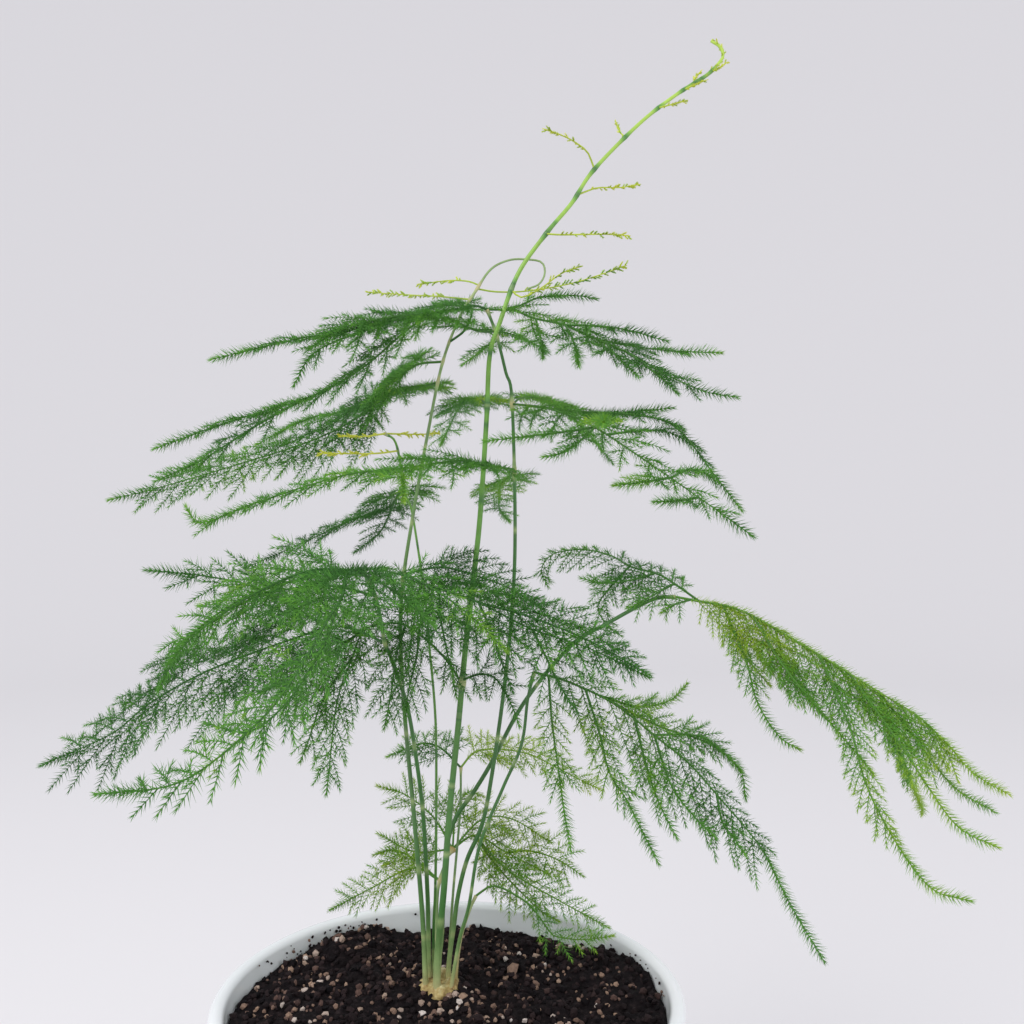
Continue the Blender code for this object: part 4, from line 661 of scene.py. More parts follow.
class Nodes:
    """A small helper that builds a material's nodes."""

    def __init__(self, name):
        self.material = bpy.data.materials.new(name)
        self.material.use_nodes = True
        self.tree = self.material.node_tree
        self.shader = self.tree.nodes["Principled BSDF"]

    def new(self, kind, **inputs):
        node = self.tree.nodes.new(kind)
        for name, value in inputs.items():
            node.inputs[name.replace("_", " ")].default_value = value
        return node

    def link(self, output, target):
        self.tree.links.new(output, target)

    def set(self, **values):
        for name, value in values.items():
            self.shader.inputs[name.replace("_", " ")].default_value = value

    def place(self):
        return self.new("ShaderNodeTexCoord").outputs["Object"]

    def noise(self, scale, detail=3, roughness=0.5):
        node = self.new("ShaderNodeTexNoise", Scale=scale, Detail=detail, Roughness=roughness)
        self.link(self.place(), node.inputs["Vector"])
        return node.outputs["Fac"]

    def attribute(self, name):
        node = self.tree.nodes.new("ShaderNodeAttribute")
        node.attribute_name = name
        return node.outputs["Fac"]

    def math(self, operation, first, second):
        node = self.tree.nodes.new("ShaderNodeMath")
        node.operation = operation
        for socket, value in zip(node.inputs, (first, second)):
            if isinstance(value, (int, float)):
                socket.default_value = value
            else:
                self.link(value, socket)
        return node.outputs[0]

    def spread(self, value, low, high):
        """The value from 0 to 1, moved to the range low to high."""
        return self.math("ADD", self.math("MULTIPLY", value, high - low), low)

    def ramp(self, value, stops):
        node = self.tree.nodes.new("ShaderNodeValToRGB")
        marks = node.color_ramp.elements
        while len(marks) < len(stops):
            marks.new(0.5)
        for mark, (place, colour) in zip(marks, stops):
            mark.position = place
            mark.color = (*colour, 1)
        self.link(value, node.inputs["Fac"])
        return node.outputs["Color"]

    def tint(self, colour, value):
        """The colour made lighter or darker by a value near 1."""
        node = self.tree.nodes.new("ShaderNodeVectorMath")
        node.operation = "SCALE"
        self.link(colour, node.inputs[0])
        self.link(value, node.inputs["Scale"])
        return node.outputs["Vector"]

    def colour(self, output):
        self.link(output, self.shader.inputs["Base Color"])

    def roughness(self, output):
        self.link(output, self.shader.inputs["Roughness"])

    def bump(self, value, strength, distance):
        node = self.new("ShaderNodeBump", Strength=strength, Distance=distance)
        self.link(value, node.inputs["Height"])
        self.link(node.outputs["Normal"], self.shader.inputs["Normal"])


def plain_material(name, colour, roughness):
    nodes = Nodes(name)
    nodes.set(Base_Color=(*colour, 1), Roughness=roughness)
    return nodes.material


def needle_material():
    nodes = Nodes("needles")
    patches = nodes.spread(nodes.noise(26, 2), -0.42, 0.42)
    tone = nodes.math("ADD", nodes.attribute("tone"), patches)
    leaf = nodes.ramp(tone, LEAF_COLOURS)
    nodes.colour(nodes.tint(leaf, nodes.spread(nodes.noise(420, 2), 0.75, 1.35)))
    nodes.roughness(nodes.spread(nodes.noise(200, 2), 0.5, 0.7))
    nodes.set(Specular_IOR_Level=0.25)
    return nodes.material


def twig_material():
    nodes = Nodes("twigs")
    leaf = nodes.ramp(nodes.attribute("tone"), TWIG_COLOURS)
    nodes.colour(nodes.tint(leaf, nodes.spread(nodes.noise(300, 3), 0.7, 1.3)))
    nodes.roughness(nodes.spread(nodes.noise(150, 2), 0.5, 0.7))
    nodes.set(Specular_IOR_Level=0.25)
    return nodes.material


def cane_material():
    nodes = Nodes("canes")
    green = nodes.ramp(nodes.attribute("tone"), CANE_COLOURS)
    nodes.colour(nodes.tint(green, nodes.spread(nodes.noise(260, 4, 0.6), 0.65, 1.35)))
    nodes.roughness(nodes.spread(nodes.noise(500, 2), 0.3, 0.5))
    nodes.bump(nodes.noise(1800, 2), 0.25, 0.0001)
    return nodes.material


def glaze_material():
    nodes = Nodes("glaze")
    nodes.colour(nodes.ramp(nodes.noise(18, 3), GLAZE_COLOURS))
    nodes.roughness(nodes.spread(nodes.noise(40, 3), 0.14, 0.28))
    nodes.set(Coat_Weight=0.35, Coat_Roughness=0.08)
    nodes.bump(nodes.noise(90, 3), 0.12, 0.0006)
    return nodes.material


def soil_material():
    nodes = Nodes("soil")
    nodes.colour(nodes.ramp(nodes.noise(420, 5, 0.65), SOIL_COLOURS))
    nodes.roughness(nodes.spread(nodes.noise(300, 2), 0.75, 0.95))
    nodes.set(Specular_IOR_Level=0.12)
    nodes.bump(nodes.noise(1400, 4, 0.7), 0.8, 0.0006)
    return nodes.material


def grain_material():
    nodes = Nodes("grains")
    shade = nodes.ramp(nodes.attribute("tone"), GRAIN_COLOURS)
    nodes.colour(nodes.tint(shade, nodes.spread(nodes.noise(1500, 4, 0.7), 0.45, 1.5)))
    nodes.roughness(nodes.spread(nodes.noise(900, 2), 0.7, 0.95))
    nodes.set(Specular_IOR_Level=0.15)
    nodes.bump(nodes.noise(2600, 3), 0.7, 0.0003)
    return nodes.material


def rootstock_material():
    nodes = Nodes("rootstock")
    nodes.colour(nodes.ramp(nodes.noise(330, 5, 0.65), CROWN_COLOURS))
    nodes.roughness(nodes.spread(nodes.noise(500, 3), 0.55, 0.85))
    nodes.bump(nodes.noise(900, 4, 0.6), 0.6, 0.0005)
    return nodes.material


class Growth:
    """Vertices, triangles and tones gathered for one piece."""

    def __init__(self):
        self.places = []
        self.triangles = []
        self.tones = []
        self.finishes = []
        self.count = 0

    def add(self, places, triangles, tones, finish):
        self.places.append(places)
        self.triangles.append(np.asarray(triangles) + self.count)
        self.tones.append(np.broadcast_to(tones, len(places)))
        self.finishes.append(np.full(len(triangles), finish))
        self.count += len(places)

    def join(self, other):
        """Take in all that another growth holds."""
        self.places += other.places
        self.triangles += [part + self.count for part in other.triangles]
        self.tones += other.tones
        self.finishes += other.finishes
        self.count += other.count

    def size(self):
        return sum(len(part) for part in self.triangles)

    def piece(self, name, materials, smooth):
        mesh = bpy.data.meshes.new(name)
        triangles = np.concatenate(self.triangles)
        mesh.from_pydata(np.concatenate(self.places).tolist(), [], triangles.tolist())
        tone = mesh.attributes.new("tone", "FLOAT", "POINT")
        tone.data.foreach_set("value", np.concatenate(self.tones).astype(np.float32))
        for material in materials:
            mesh.materials.append(material)
        mesh.polygons.foreach_set("material_index",
                                  np.concatenate(self.finishes).astype(np.int32))
        mesh.polygons.foreach_set("use_smooth", np.full(len(triangles), smooth))
        mesh.update()
        return new_object(name, mesh)


def finish_piece(piece, slot, *nodes):
    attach(piece, "root")
    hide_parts(*nodes)


def smooth_route(points, spacing):
    """Evenly spaced points on a smooth curve through the given ones."""
    given = [np.array(point, float) * MM for point in points]
    ends = [given[0] * 2 - given[1]] + given + [given[-1] * 2 - given[-2]]
    dense = []
    for before, start, end, after in zip(ends, ends[1:], ends[2:], ends[3:]):
        for step in range(ROUTE_STEPS):
            t = step / ROUTE_STEPS
            dense.append(0.5 * (2 * start + (end - before) * t
                                + (2 * before - 5 * start + 4 * end - after) * t ** 2
                                + (3 * start - before - 3 * end + after) * t ** 3))
    dense.append(given[-1])
    dense = np.array(dense)
    walked = distances(dense)
    count = max(round(walked[-1] / spacing), 2)
    stops = np.linspace(0, walked[-1], count + 1)
    return along(dense, walked, stops)


def distances(points):
    """How far along a line of points each of them lies."""
    steps = np.linalg.norm(np.diff(points, axis=0), axis=1)
    return np.concatenate([[0], np.cumsum(steps)])


def along(points, walked, stops):
    return np.stack([np.interp(stops, walked, points[:, axis]) for axis in range(3)], 1)


def directions(points):
    """The way a line of points runs, at each of them."""
    ahead = np.gradient(points, axis=0)
    return ahead / np.linalg.norm(ahead, axis=1)[:, None]


def unit(vectors):
    return vectors / np.maximum(np.linalg.norm(vectors, axis=-1, keepdims=True), 1e-12)


def cross_axes(ahead):
    """Two directions across each direction of travel."""
    reference = np.where(np.abs(ahead[:, 2:3]) < 0.85, [[0, 0, 1.0]], [[1.0, 0, 0]])
    side = unit(np.cross(ahead, reference))
    return side, np.cross(side, ahead)


def add_tube(growth, points, radii, sides, tones, finish):
    """A closed tube along a line of points."""
    ahead = directions(points)
    side, other = carried_axes(ahead)
    angles = np.arange(sides) * 2 * math.pi / sides
    ring = (side[:, None] * np.cos(angles)[None, :, None]
            + other[:, None] * np.sin(angles)[None, :, None])
    places = points[:, None] + ring * np.asarray(radii)[:, None, None]
    count = len(points)
    near = (np.arange(count - 1)[:, None] * sides + np.arange(sides)[None]).ravel()
    nextdoor = (np.arange(count - 1)[:, None] * sides
                + (np.arange(sides)[None] + 1) % sides).ravel()
    triangles = np.concatenate([
        np.stack([near, nextdoor, nextdoor + sides], 1),
        np.stack([near, nextdoor + sides, near + sides], 1)])
    last = (count - 1) * sides
    first_cap = [(0, step + 1, step) for step in range(1, sides - 1)]
    last_cap = [(last, last + step, last + step + 1) for step in range(1, sides - 1)]
    triangles = np.concatenate([triangles, first_cap, last_cap])
    growth.add(places.reshape(-1, 3), triangles, np.repeat(np.broadcast_to(tones, count), sides),
               finish)


def carried_axes(ahead):
    """Two directions across a line, carried along it without a twist."""
    side, _ = cross_axes(ahead[:1])
    sides = [side[0]]
    for direction in ahead[1:]:
        last = sides[-1]
        sides.append(unit(last - direction * last.dot(direction)))
    sides = np.array(sides)
    return sides, np.cross(sides, ahead)


def add_needles(growth, stations, rng, finish):
    """Needles at stations: each is a slim closed spike.

    A station is its place, its direction, the needles' length and lean, their number and tone.
    """
    place, ahead, length, lean, number, tone = stations
    owner = np.repeat(np.arange(len(place)), number)
    order = np.concatenate([np.arange(count) for count in number])
    turn = rng.uniform(0, 2 * math.pi, len(place))
    angle = turn[owner] + 2 * math.pi * order / number[owner] + rng.normal(0, TURN_SPREAD, len(owner))
    side, other = cross_axes(ahead)
    outward = side[owner] * np.cos(angle)[:, None] + other[owner] * np.sin(angle)[:, None]
    tilt = lean[owner] + rng.normal(0, math.radians(LEAN_SPREAD), len(owner))
    direction = unit(ahead[owner] * np.cos(tilt)[:, None] + outward * np.sin(tilt)[:, None])
    reach = length[owner] * rng.uniform(*NEEDLE_LENGTHS, len(owner))
    root = place[owner]
    tip = root + direction * reach[:, None]
    keep = tip[:, 2] > FOLIAGE_FLOOR
    owner, direction, root, tip = owner[keep], direction[keep], root[keep], tip[keep]
    across, third = cross_axes(direction)
    corners = []
    for step in range(3):
        spin = 2 * math.pi * step / 3
        corners.append(root + (across * math.cos(spin) + third * math.sin(spin)) * NEEDLE_RADIUS)
    places = np.stack(corners + [tip], 1).reshape(-1, 3)
    start = np.arange(len(root)) * 4
    triangles = np.concatenate([
        np.stack([start, start + 1, start + 3], 1),
        np.stack([start + 1, start + 2, start + 3], 1),
        np.stack([start + 2, start, start + 3], 1),
        np.stack([start, start + 2, start + 1], 1)])
    shade = np.repeat(tone[owner] + rng.normal(0, TONE_SPREAD, len(owner)), 4)
    growth.add(places, triangles, shade, finish)


def place_at(points, walked, distance):
    index = min(max(int(np.searchsorted(walked, distance)) - 1, 0), len(points) - 2)
    ahead = points[index + 1] - points[index]
    share = (distance - walked[index]) / max(walked[index + 1] - walked[index], 1e-12)
    return points[index] + ahead * share, ahead / np.linalg.norm(ahead)


def grow_twig(start, heading, ahead, length, hang):
    """The points of a twig that turns towards the way its carrier grows, and droops."""
    steps = max(round(length / TWIG_STEP), 2)
    points = [start]
    for _ in range(steps):
        points.append(points[-1] + heading * (length / steps))
        heading = heading + ahead * TWIG_TURN - UPWARD * hang
        heading = heading / np.linalg.norm(heading)
    return np.array(points)


def branch_off(carrier, distance, side, normal, length, spread, hang, rng):
    """A twig that leaves its carrier at a distance along it, in the plane across the normal."""
    start, ahead = place_at(carrier, distances(carrier), distance)
    across = np.cross(ahead, normal)
    across = across / max(np.linalg.norm(across), 1e-9) * side
    heading = (ahead * math.cos(spread) + across * math.sin(spread)
               + normal * rng.uniform(-TWIG_RISE, TWIG_RISE))
    heading = heading / np.linalg.norm(heading)
    return grow_twig(start, heading, ahead, length, hang)


def frond_twigs(frond, axis, rng):
    """The side branches of a frond, with their branchlets and twiglets, as lines of points."""
    walked = distances(axis)
    length = walked[-1]
    twigs = []
    distance = frond.bare * MM
    side = 1
    while distance < length - plain_tip(frond, length):
        share = distance / length
        _, ahead = place_at(axis, walked, distance)
        normal, width = frond_side(frond, ahead, side)
        reach = frond.reach * MM * envelope(frond, share) * width * rng.uniform(*TWIG_LENGTHS)
        turn = rng.uniform(-SPREAD_CHANCE, SPREAD_CHANCE)
        spread = math.radians(frond.spread - SPREAD_LOSS * share + turn)
        twigs += side_twigs(frond, axis, distance, side, normal, reach, spread, TWIG_ORDERS, rng)
        side = -side
        distance += frond.every * MM * rng.uniform(*TWIG_GAPS)
    return twigs


def envelope(frond, share):
    """The relative length of the side branches at a share of the frond's length."""
    if frond.reach > FAN_REACH:
        return min(FAN_START + FAN_OPENING * share, 1) * (1 - FAN_NARROWING * share)
    bulge = min(SLIM_START + (1 - SLIM_START) * share, 1)
    return SLIM_LEAST + SLIM_BULGE * math.sin(math.pi * bulge)


def plain_tip(frond, length):
    """How much of a frond's axis has needles only, at its tip."""
    return min(PLAIN_SHARE * length, frond.plain * MM)


def frond_side(frond, ahead, side):
    """The face and the relative width of a frond on one side of its axis.

    It falls to the front and rises to the back.
    """
    near = np.cross(ahead, UPWARD)[1] * side < 0
    slope = math.radians(frond.fall if near else frond.rise)
    normal = plane_normal(ahead, np.array([0, -math.sin(slope), math.cos(slope)]))
    return normal, 1 if near else frond.back


def plane_normal(ahead, reference):
    """The direction nearest to the reference that lies across the way ahead."""
    normal = reference - ahead * ahead.dot(reference)
    if np.linalg.norm(normal) < LEAST_ACROSS:
        front = np.array([0, -1.0, 0])
        normal = front - ahead * ahead.dot(front)
    return normal / np.linalg.norm(normal)


def side_twigs(frond, carrier, distance, side, normal, length, spread, orders, rng):
    """A twig off its carrier, with the smaller twigs on it down to the last order."""
    twig = branch_off(carrier, distance, side, normal, length, spread, frond.hang, rng)
    found = [twig]
    if orders == 1 or length < LEAST_CARRIER:
        return found
    own = distances(twig)
    at = FIRST_BRANCHLET
    turn = 1
    while at < own[-1] * BRANCHED_SHARE - UNBRANCHED_TIP:
        reach = min((own[-1] - at) * BRANCHLET_SHARE, frond.lace * MM)
        reach *= rng.uniform(*BRANCHLET_LENGTHS)
        _, ahead = place_at(twig, own, at)
        spread = math.radians(rng.uniform(*BRANCHLET_SPREADS))
        found += side_twigs(frond, twig, at, turn, plane_normal(ahead, normal), reach, spread,
                            orders - 1, rng)
        turn = -turn
        at += BRANCHLET_SPACING * rng.uniform(*TWIG_GAPS)
    return found


class Stations:
    """The places where bunches of needles grow."""

    def __init__(self):
        self.rows = []

    def along(self, points, first, spacing, length, leans, number, tone):
        """Bunches along a line of points, whose needles lean less towards its tip."""
        walked = distances(points)
        total = walked[-1]
        if total <= first:
            return
        stops = np.linspace(first, total, max(round((total - first) / spacing) + 1, 2))
        place = along(points, walked, stops)
        ahead = along(directions(points), walked, stops)
        near_tip = np.clip(1 - (total - stops) / TIP_LENGTH, 0, 1)
        lengths = length * (1 - TIP_SHORTENING * near_tip)
        lean, tip_lean = (math.radians(angle) for angle in leans)
        self.rows.append((place, unit(ahead), lengths, lean + (tip_lean - lean) * near_tip,
                          np.full(len(stops), number), tone + TIP_TONE * near_tip))

    def arrays(self):
        return [np.concatenate(column) for column in zip(*self.rows)]


def young_frond(growth, frond, axis, rng, draw):
    """A young shoot: a bare stalk, then tight little buds that crowd towards its tip."""
    walked = distances(axis)
    total = walked[-1]
    share = walked / total
    add_tube(growth, axis, (SHOOT_RADIUS - SHOOT_TAPER * share) * MM, AXIS_SIDES,
             frond.tone + SHOOT_TONE * share, TWIG_FINISH)
    stations = Stations()
    distance = frond.bare * MM
    while distance < total:
        place, ahead = place_at(axis, walked, distance)
        outward = np.array([rng.uniform(-1, 1) for _ in range(3)])
        outward = outward - ahead * outward.dot(ahead)
        heading = ahead * BUD_AHEAD + outward / np.linalg.norm(outward) * BUD_OUTWARD
        size = frond.reach * MM * rng.uniform(*BUD_SIZES)
        bud = np.array([place, place + heading * size * 0.5, place + heading * size])
        stations.along(bud, BUD_FIRST, BUD_STEP, BUD_LENGTH, BUD_LEANS, BUD_NEEDLES,
                       frond.tone + rng.uniform(*BUD_TONES))
        crowding = distance / total
        spacing = BUD_SPACING * (1 - crowding) + TIP_BUD_SPACING * crowding
        distance += spacing * rng.uniform(*BUD_GAPS)
    stations.along(axis[-3:], 0, SHOOT_TIP_STEP, BUD_LENGTH, SHOOT_TIP_LEANS, BUD_NEEDLES,
                   frond.tone + SHOOT_TIP_TONE)
    add_needles(growth, stations.arrays(), draw, NEEDLE_FINISH)


def old_frond(growth, frond, axis, rng, draw):
    """A grown frond: its wiry axis, the side branches and the needles on them."""
    walked = distances(axis)
    share = walked / walked[-1]
    radii = AXIS_RADIUS + (AXIS_TIP_RADIUS - AXIS_RADIUS) * share
    first_tone, gain = AXIS_TONES
    add_tube(growth, axis, radii, AXIS_SIDES, frond.tone + first_tone + gain * share, TWIG_FINISH)
    stations = Stations()
    tone = frond.tone + AXIS_NEEDLE_TONE
    stations.along(axis, frond.bare * MM * NEEDLED_STALK, FASCICLE_SPACING,
                   NEEDLE_LENGTH * AXIS_NEEDLE_LENGTH, NEEDLE_LEANS, NEEDLES, tone)
    tip = axis[walked > walked[-1] - plain_tip(frond, walked[-1]) - TWIG_STEP]
    stations.along(tip, 0, FASCICLE_SPACING, NEEDLE_LENGTH * TIP_NEEDLE_LENGTH, NEEDLE_LEANS,
                   TIP_NEEDLES, tone)
    for twig in frond_twigs(frond, axis, rng):
        radii = np.linspace(TWIG_RADIUS, TWIG_TIP_RADIUS, len(twig))
        add_tube(growth, twig, radii, TWIG_SIDES, frond.tone, TWIG_FINISH)
        length = NEEDLE_LENGTH * rng.uniform(*TWIG_NEEDLE_LENGTHS)
        tone = frond.tone + rng.uniform(-TWIG_TONE_SPREAD, TWIG_TONE_SPREAD)
        stations.along(twig, FIRST_FASCICLE, FASCICLE_SPACING, length, NEEDLE_LEANS, NEEDLES, tone)
    add_needles(growth, stations.arrays(), draw, NEEDLE_FINISH)


def nearest_point(routes, point):
    """The point of any of the routes that lies nearest."""
    candidates = np.concatenate(routes)
    return candidates[np.argmin(np.linalg.norm(candidates - point, axis=1))]


def frond_axes(route, fronds):
    """The axes of a stem's fronds, each started on the stem or frond that carries it."""
    carriers = [route]
    for frond in fronds:
        first = nearest_point(carriers, np.array(frond.points[0]) * MM)
        carriers.append(smooth_route((tuple(first / MM),) + frond.points[1:], AXIS_SPACING))
    return carriers[1:]


def make_cane(name, stem, route, joints, materials):
    """A stem with a flared tan foot and a small swelling wherever a frond leaves it."""
    growth = Growth()
    walked = distances(route)
    share = walked / walked[-1]
    radii = (stem.foot_radius * (1 - share) + stem.tip_radius * share) * MM
    tones = stem.tone + (stem.tip_tone - stem.tone) * share ** CANE_TONE_POWER
    radii *= 1 + FOOT_FLARE * np.exp(-walked / FLARE_LENGTH)
    tones = tones * (1 - np.exp(-walked / TAN_LENGTH))
    for joint in joints:
        near = np.exp(-(np.linalg.norm(route - joint, axis=1) / JOINT_LENGTH) ** 2)
        radii *= 1 + JOINT_SWELLING * near
        tones = tones * (1 - JOINT_TAN * near)
    last_scar = walked[-1] * SCARRED_SHARE
    for scar in np.arange(SCAR_SPACING * stem.foot_radius, last_scar, SCAR_SPACING):
        tones = tones * (1 - SCAR_TAN * np.exp(-((walked - scar) / SCAR_LENGTH) ** 2))
    add_tube(growth, route, radii, CANE_SIDES, tones, 0)
    piece = growth.piece(f"{name}_cane", [materials["cane"]], True)
    finish_piece(piece, node_slot(name), name)


def node_slot(name):
    return "young_foliage" if name == "stem_new" else "foliage"


def grown_frond(frond, axis, seed):
    growth = Growth()
    grow = young_frond if frond.young else old_frond
    grow(growth, frond, axis, random.Random(seed), np.random.default_rng(seed))
    return growth


def make_foliage(name, axes, first_seed, materials):
    """A stem's fronds, in as many pieces as the triangle limit asks for."""
    growths = [Growth()]
    for seed, (frond, axis) in enumerate(zip(FRONDS[name], axes), first_seed):
        grown = grown_frond(frond, axis, seed)
        if growths[-1].count and growths[-1].size() + grown.size() > MOST_TRIANGLES:
            growths.append(Growth())
        growths[-1].join(grown)
    finishes = [materials["needle"], materials["twig"]]
    for number, growth in enumerate(growths, 1):
        piece = growth.piece(f"{name}_fronds_{number}", finishes, False)
        finish_piece(piece, node_slot(name), name)


def inner_radius(height):
    """The pot's inside radius at a height."""
    share = height / POT_HEIGHT
    return POT_FOOT_RADIUS + (POT_RIM_RADIUS - POT_FOOT_RADIUS) * share - POT_WALL


def make_pot(materials):
    half_wall = POT_WALL / 2
    rim = arc(POT_RIM_RADIUS - half_wall, POT_HEIGHT - half_wall, half_wall, 180, 0,
              POT_RIM_PIECES)
    foot = arc(POT_FOOT_RADIUS - POT_FOOT_ROUNDING, POT_FOOT_ROUNDING, POT_FOOT_ROUNDING,
               0, -90, POT_FOOT_PIECES)
    inside = [(0, POT_FLOOR), (inner_radius(POT_FLOOR), POT_FLOOR)]
    pot = turned_piece("pot_glazed", inside + rim + foot + [(0, 0)], POT_STEPS)
    pot.data.materials.append(materials["glaze"])
    finish_piece(pot, "pot_glaze", "pot")


def soil_height(x, y):
    """Height of the soil's top: a mound with heaps, swells and clods."""
    distance = math.hypot(x, y) / inner_radius(SOIL_WALL_HEIGHT)
    mound = SOIL_MOUND * math.cos(min(distance, 1) * math.pi / 2)
    heaps = -SOIL_DIP * max(y, 0) / POT_RIM_RADIUS * distance
    for heap_x, heap_y, height, width in HEAPS:
        away = math.hypot(x - heap_x * MM, y - heap_y * MM) / (width * MM)
        heaps += height * MM * math.exp(-away ** 2)
    place = Vector((x, y, 0))
    height, breadth = SWELLS
    clods = height * MM * noise.noise(place / (breadth * MM))
    for height, breadth in CLODS:
        clods += height * MM * abs(noise.noise(place / (breadth * MM)))
    return SOIL_WALL_HEIGHT + mound + heaps + clods


def soil_places():
    """The middle of the soil's top, its rings out to the wall, the ring below and its middle."""
    side = inner_radius(SOIL_WALL_HEIGHT) - SOIL_GAP
    places = [(0, 0, soil_height(0, 0))]
    for ring in range(1, SOIL_RINGS + 1):
        radius = side * ring / SOIL_RINGS
        for step in range(SOIL_STEPS):
            angle = 2 * math.pi * (step + 0.5 * (ring % 2)) / SOIL_STEPS
            x, y = radius * math.cos(angle), radius * math.sin(angle)
            places.append((x, y, soil_height(x, y)))
    bottom = POT_FLOOR + SOIL_FOOT_GAP
    radius = inner_radius(bottom) - SOIL_FOOT_GAP
    for step in range(SOIL_STEPS):
        angle = 2 * math.pi * step / SOIL_STEPS
        places.append((radius * math.cos(angle), radius * math.sin(angle), bottom))
    places.append((0, 0, bottom))
    return places


def soil_triangles():
    triangles = []
    last = 1 + SOIL_RINGS * SOIL_STEPS
    base = last + SOIL_STEPS
    for step in range(SOIL_STEPS):
        following = (step + 1) % SOIL_STEPS
        triangles.append((0, 1 + step, 1 + following))
        for ring in range(SOIL_RINGS):
            low, high = 1 + ring * SOIL_STEPS, 1 + (ring + 1) * SOIL_STEPS
            triangles.append((low + step, high + step, high + following))
            triangles.append((low + step, high + following, low + following))
        triangles.append((base, last + following, last + step))
    return triangles


def make_soil(materials):
    """The soil's crumbly top and its side down to the pot's floor."""
    growth = Growth()
    growth.add(np.array(soil_places()), np.array(soil_triangles()), 0, 0)
    piece = growth.piece("soil_bed", [materials["soil"]], True)
    finish_piece(piece, "soil", "soil")


@functools.cache
def crumb_shape():
    """The corners and triangles of a rough little stone, before it is scaled."""
    golden = (1 + math.sqrt(5)) / 2
    corners = []
    for first in (-1, 1):
        for second in (-golden, golden):
            corners += [(0, first, second), (first, second, 0), (second, 0, first)]
    places = unit(np.array(corners, float))
    triangles = []
    for trio in itertools.combinations(range(12), 3):
        first, second, third = places[list(trio)]
        edges = (first - second, second - third, third - first)
        if max(np.linalg.norm(edge) for edge in edges) < CRUMB_LONGEST_EDGE:
            outward = np.dot(np.cross(second - first, third - first), first) > 0
            triangles.append(trio if outward else trio[::-1])
    return places, np.array(triangles)


def make_grains(materials):
    """Loose crumbs and pale grit over the soil, and specks on the pot's inner wall."""
    growth = Growth()
    rng = np.random.default_rng(CRUMB_SEED)
    for _ in range(CRUMBS):
        strew_crumb(growth, rng)
    for x, y, size, tone in LUMPS:
        place = (x * MM, y * MM, soil_height(x * MM, y * MM) + LUMP_LIFT)
        add_crumb(growth, rng, place, size * MM, tone)
    for middle in SPECK_PATCHES:
        for _ in range(SPECKS_EACH):
            strew_speck(growth, rng, middle)
    piece = growth.piece("soil_grains", [materials["grain"]], False)
    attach(piece, "root")


def strew_crumb(growth, rng):
    """A crumb somewhere on the soil, of a kind that depends on the patch it lies in."""
    side = inner_radius(SOIL_WALL_HEIGHT) - CRUMB_MARGIN
    radius = side * math.sqrt(rng.uniform(0, 1))
    angle = rng.uniform(0, 2 * math.pi)
    x, y = radius * math.cos(angle), radius * math.sin(angle)
    gritty = noise.noise(Vector((x, y, PATCH_LAYER)) / PATCH_SIZE) * PATCH_STRENGTH
    kind = rng.uniform(0, 1) + gritty
    sizes, tones = next((sizes, tones) for most, sizes, tones in CRUMB_KINDS if kind < most)
    size = rng.uniform(*sizes) * MM
    tone = rng.uniform(*tones)
    crown_x, crown_y = CROWN_PLACE
    if math.hypot(x - crown_x * MM, y - crown_y * MM) > CROWN_CLEARANCE:
        add_crumb(growth, rng, (x, y, soil_height(x, y) + size * CRUMB_LIFT), size, tone)


def strew_speck(growth, rng, middle):
    """A speck on the pot's inner wall, near the angle at the middle of its patch."""
    angle = math.radians(middle + rng.normal(0, SPECK_SPREAD))
    height = SOIL_WALL_HEIGHT + rng.uniform(*SPECK_HEIGHTS) * MM
    size = rng.uniform(*SPECK_SIZES) * MM
    radius = inner_radius(height) - size * SPECK_SINK
    place = (radius * math.cos(angle), radius * math.sin(angle), height)
    add_crumb(growth, rng, place, size, rng.uniform(*SPECK_TONES))


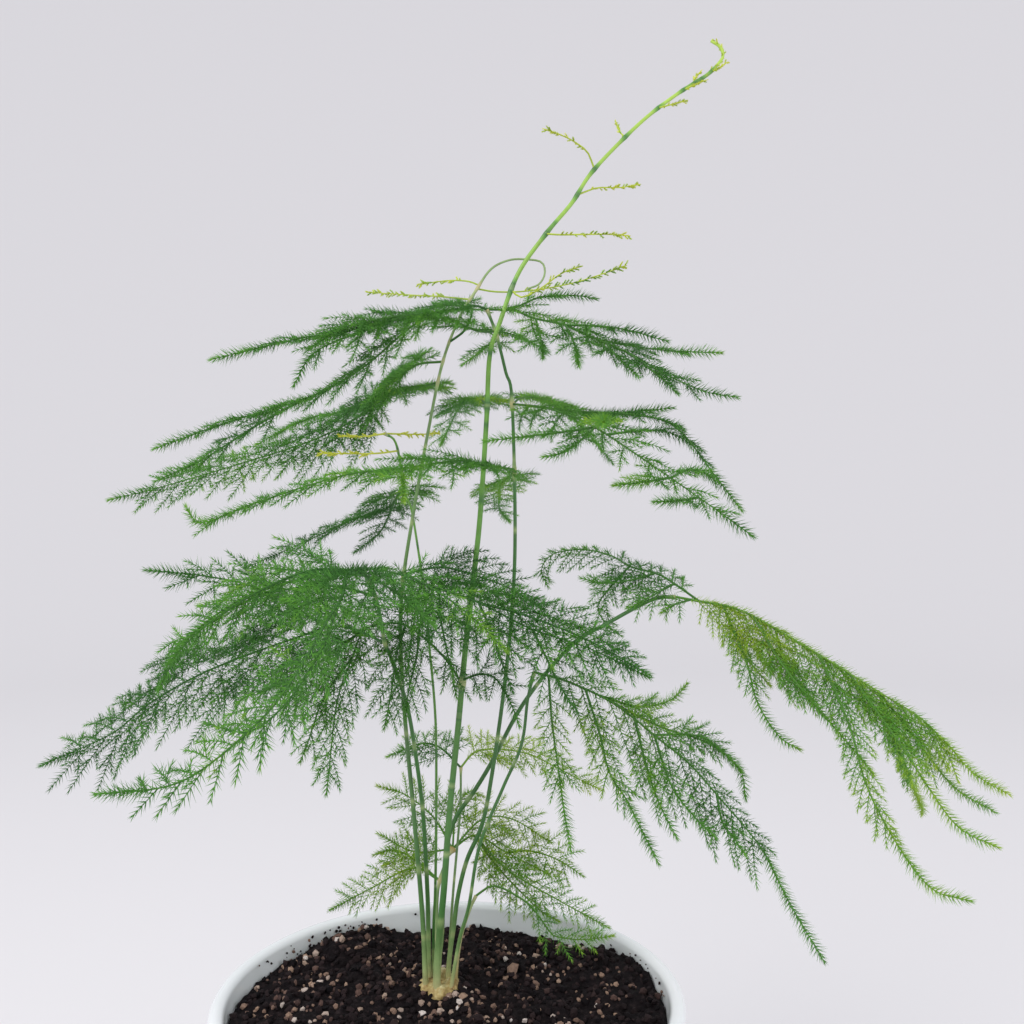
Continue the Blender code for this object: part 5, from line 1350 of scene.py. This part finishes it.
def add_crumb(growth, rng, centre, size, tone):
    shape, triangles = crumb_shape()
    rough = shape * (1 + rng.uniform(-CRUMB_ROUGHNESS, CRUMB_ROUGHNESS, (len(shape), 1)))
    stretch = rng.uniform(*CRUMB_STRETCH, 3)
    turn = np.array(Matrix.Rotation(rng.uniform(0, CRUMB_TURN), 3, Vector(rng.normal(size=3))))
    growth.add((rough * stretch * size) @ turn.T + np.array(centre), triangles, tone, 0)


def make_rootstock(materials):
    """The knobbly crown, grown together from its lumps."""
    bm = bmesh.new()
    for centre, radii in CROWN_LUMPS:
        size = Matrix.Diagonal([radius * MM for radius in radii]).to_4x4()
        place = Matrix.Translation(Vector(centre) * MM)
        bmesh.ops.create_icosphere(bm, subdivisions=CROWN_DETAIL, radius=1,
                                   matrix=place @ size)
    mesh = bpy.data.meshes.new("rootstock")
    bm.to_mesh(mesh)
    bm.free()
    piece = new_object("rootstock", mesh)
    remesh = piece.modifiers.new("grow", "REMESH")
    remesh.mode = "VOXEL"
    remesh.voxel_size = CROWN_VOXEL
    smooth = piece.modifiers.new("smooth", "SMOOTH")
    smooth.iterations = CROWN_SMOOTHING
    apply_modifiers(piece)
    for vert in piece.data.vertices:
        knob = sum(noise.noise(vert.co / (breadth * MM)) * height for breadth, height in KNOBS)
        vert.co += vert.normal * knob * MM
    piece.data.shade_smooth()
    piece.data.materials.append(materials["rootstock"])
    finish_piece(piece, "crown", "crown")


def main():
    make_camera()
    make_light()
    make_stage()
    materials = {
        "needle": needle_material(),
        "twig": twig_material(),
        "cane": cane_material(),
        "glaze": glaze_material(),
        "soil": soil_material(),
        "grain": grain_material(),
        "rootstock": rootstock_material(),
    }
    make_pot(materials)
    make_soil(materials)
    make_grains(materials)
    make_rootstock(materials)
    seed = 0
    for name, stem in STEMS.items():
        route = smooth_route(stem.points, STEM_SPACING)
        axes = frond_axes(route, FRONDS[name])
        make_cane(name, stem, route, [axis[0] for axis in axes], materials)
        make_foliage(name, axes, seed, materials)
        seed += len(axes)


main()
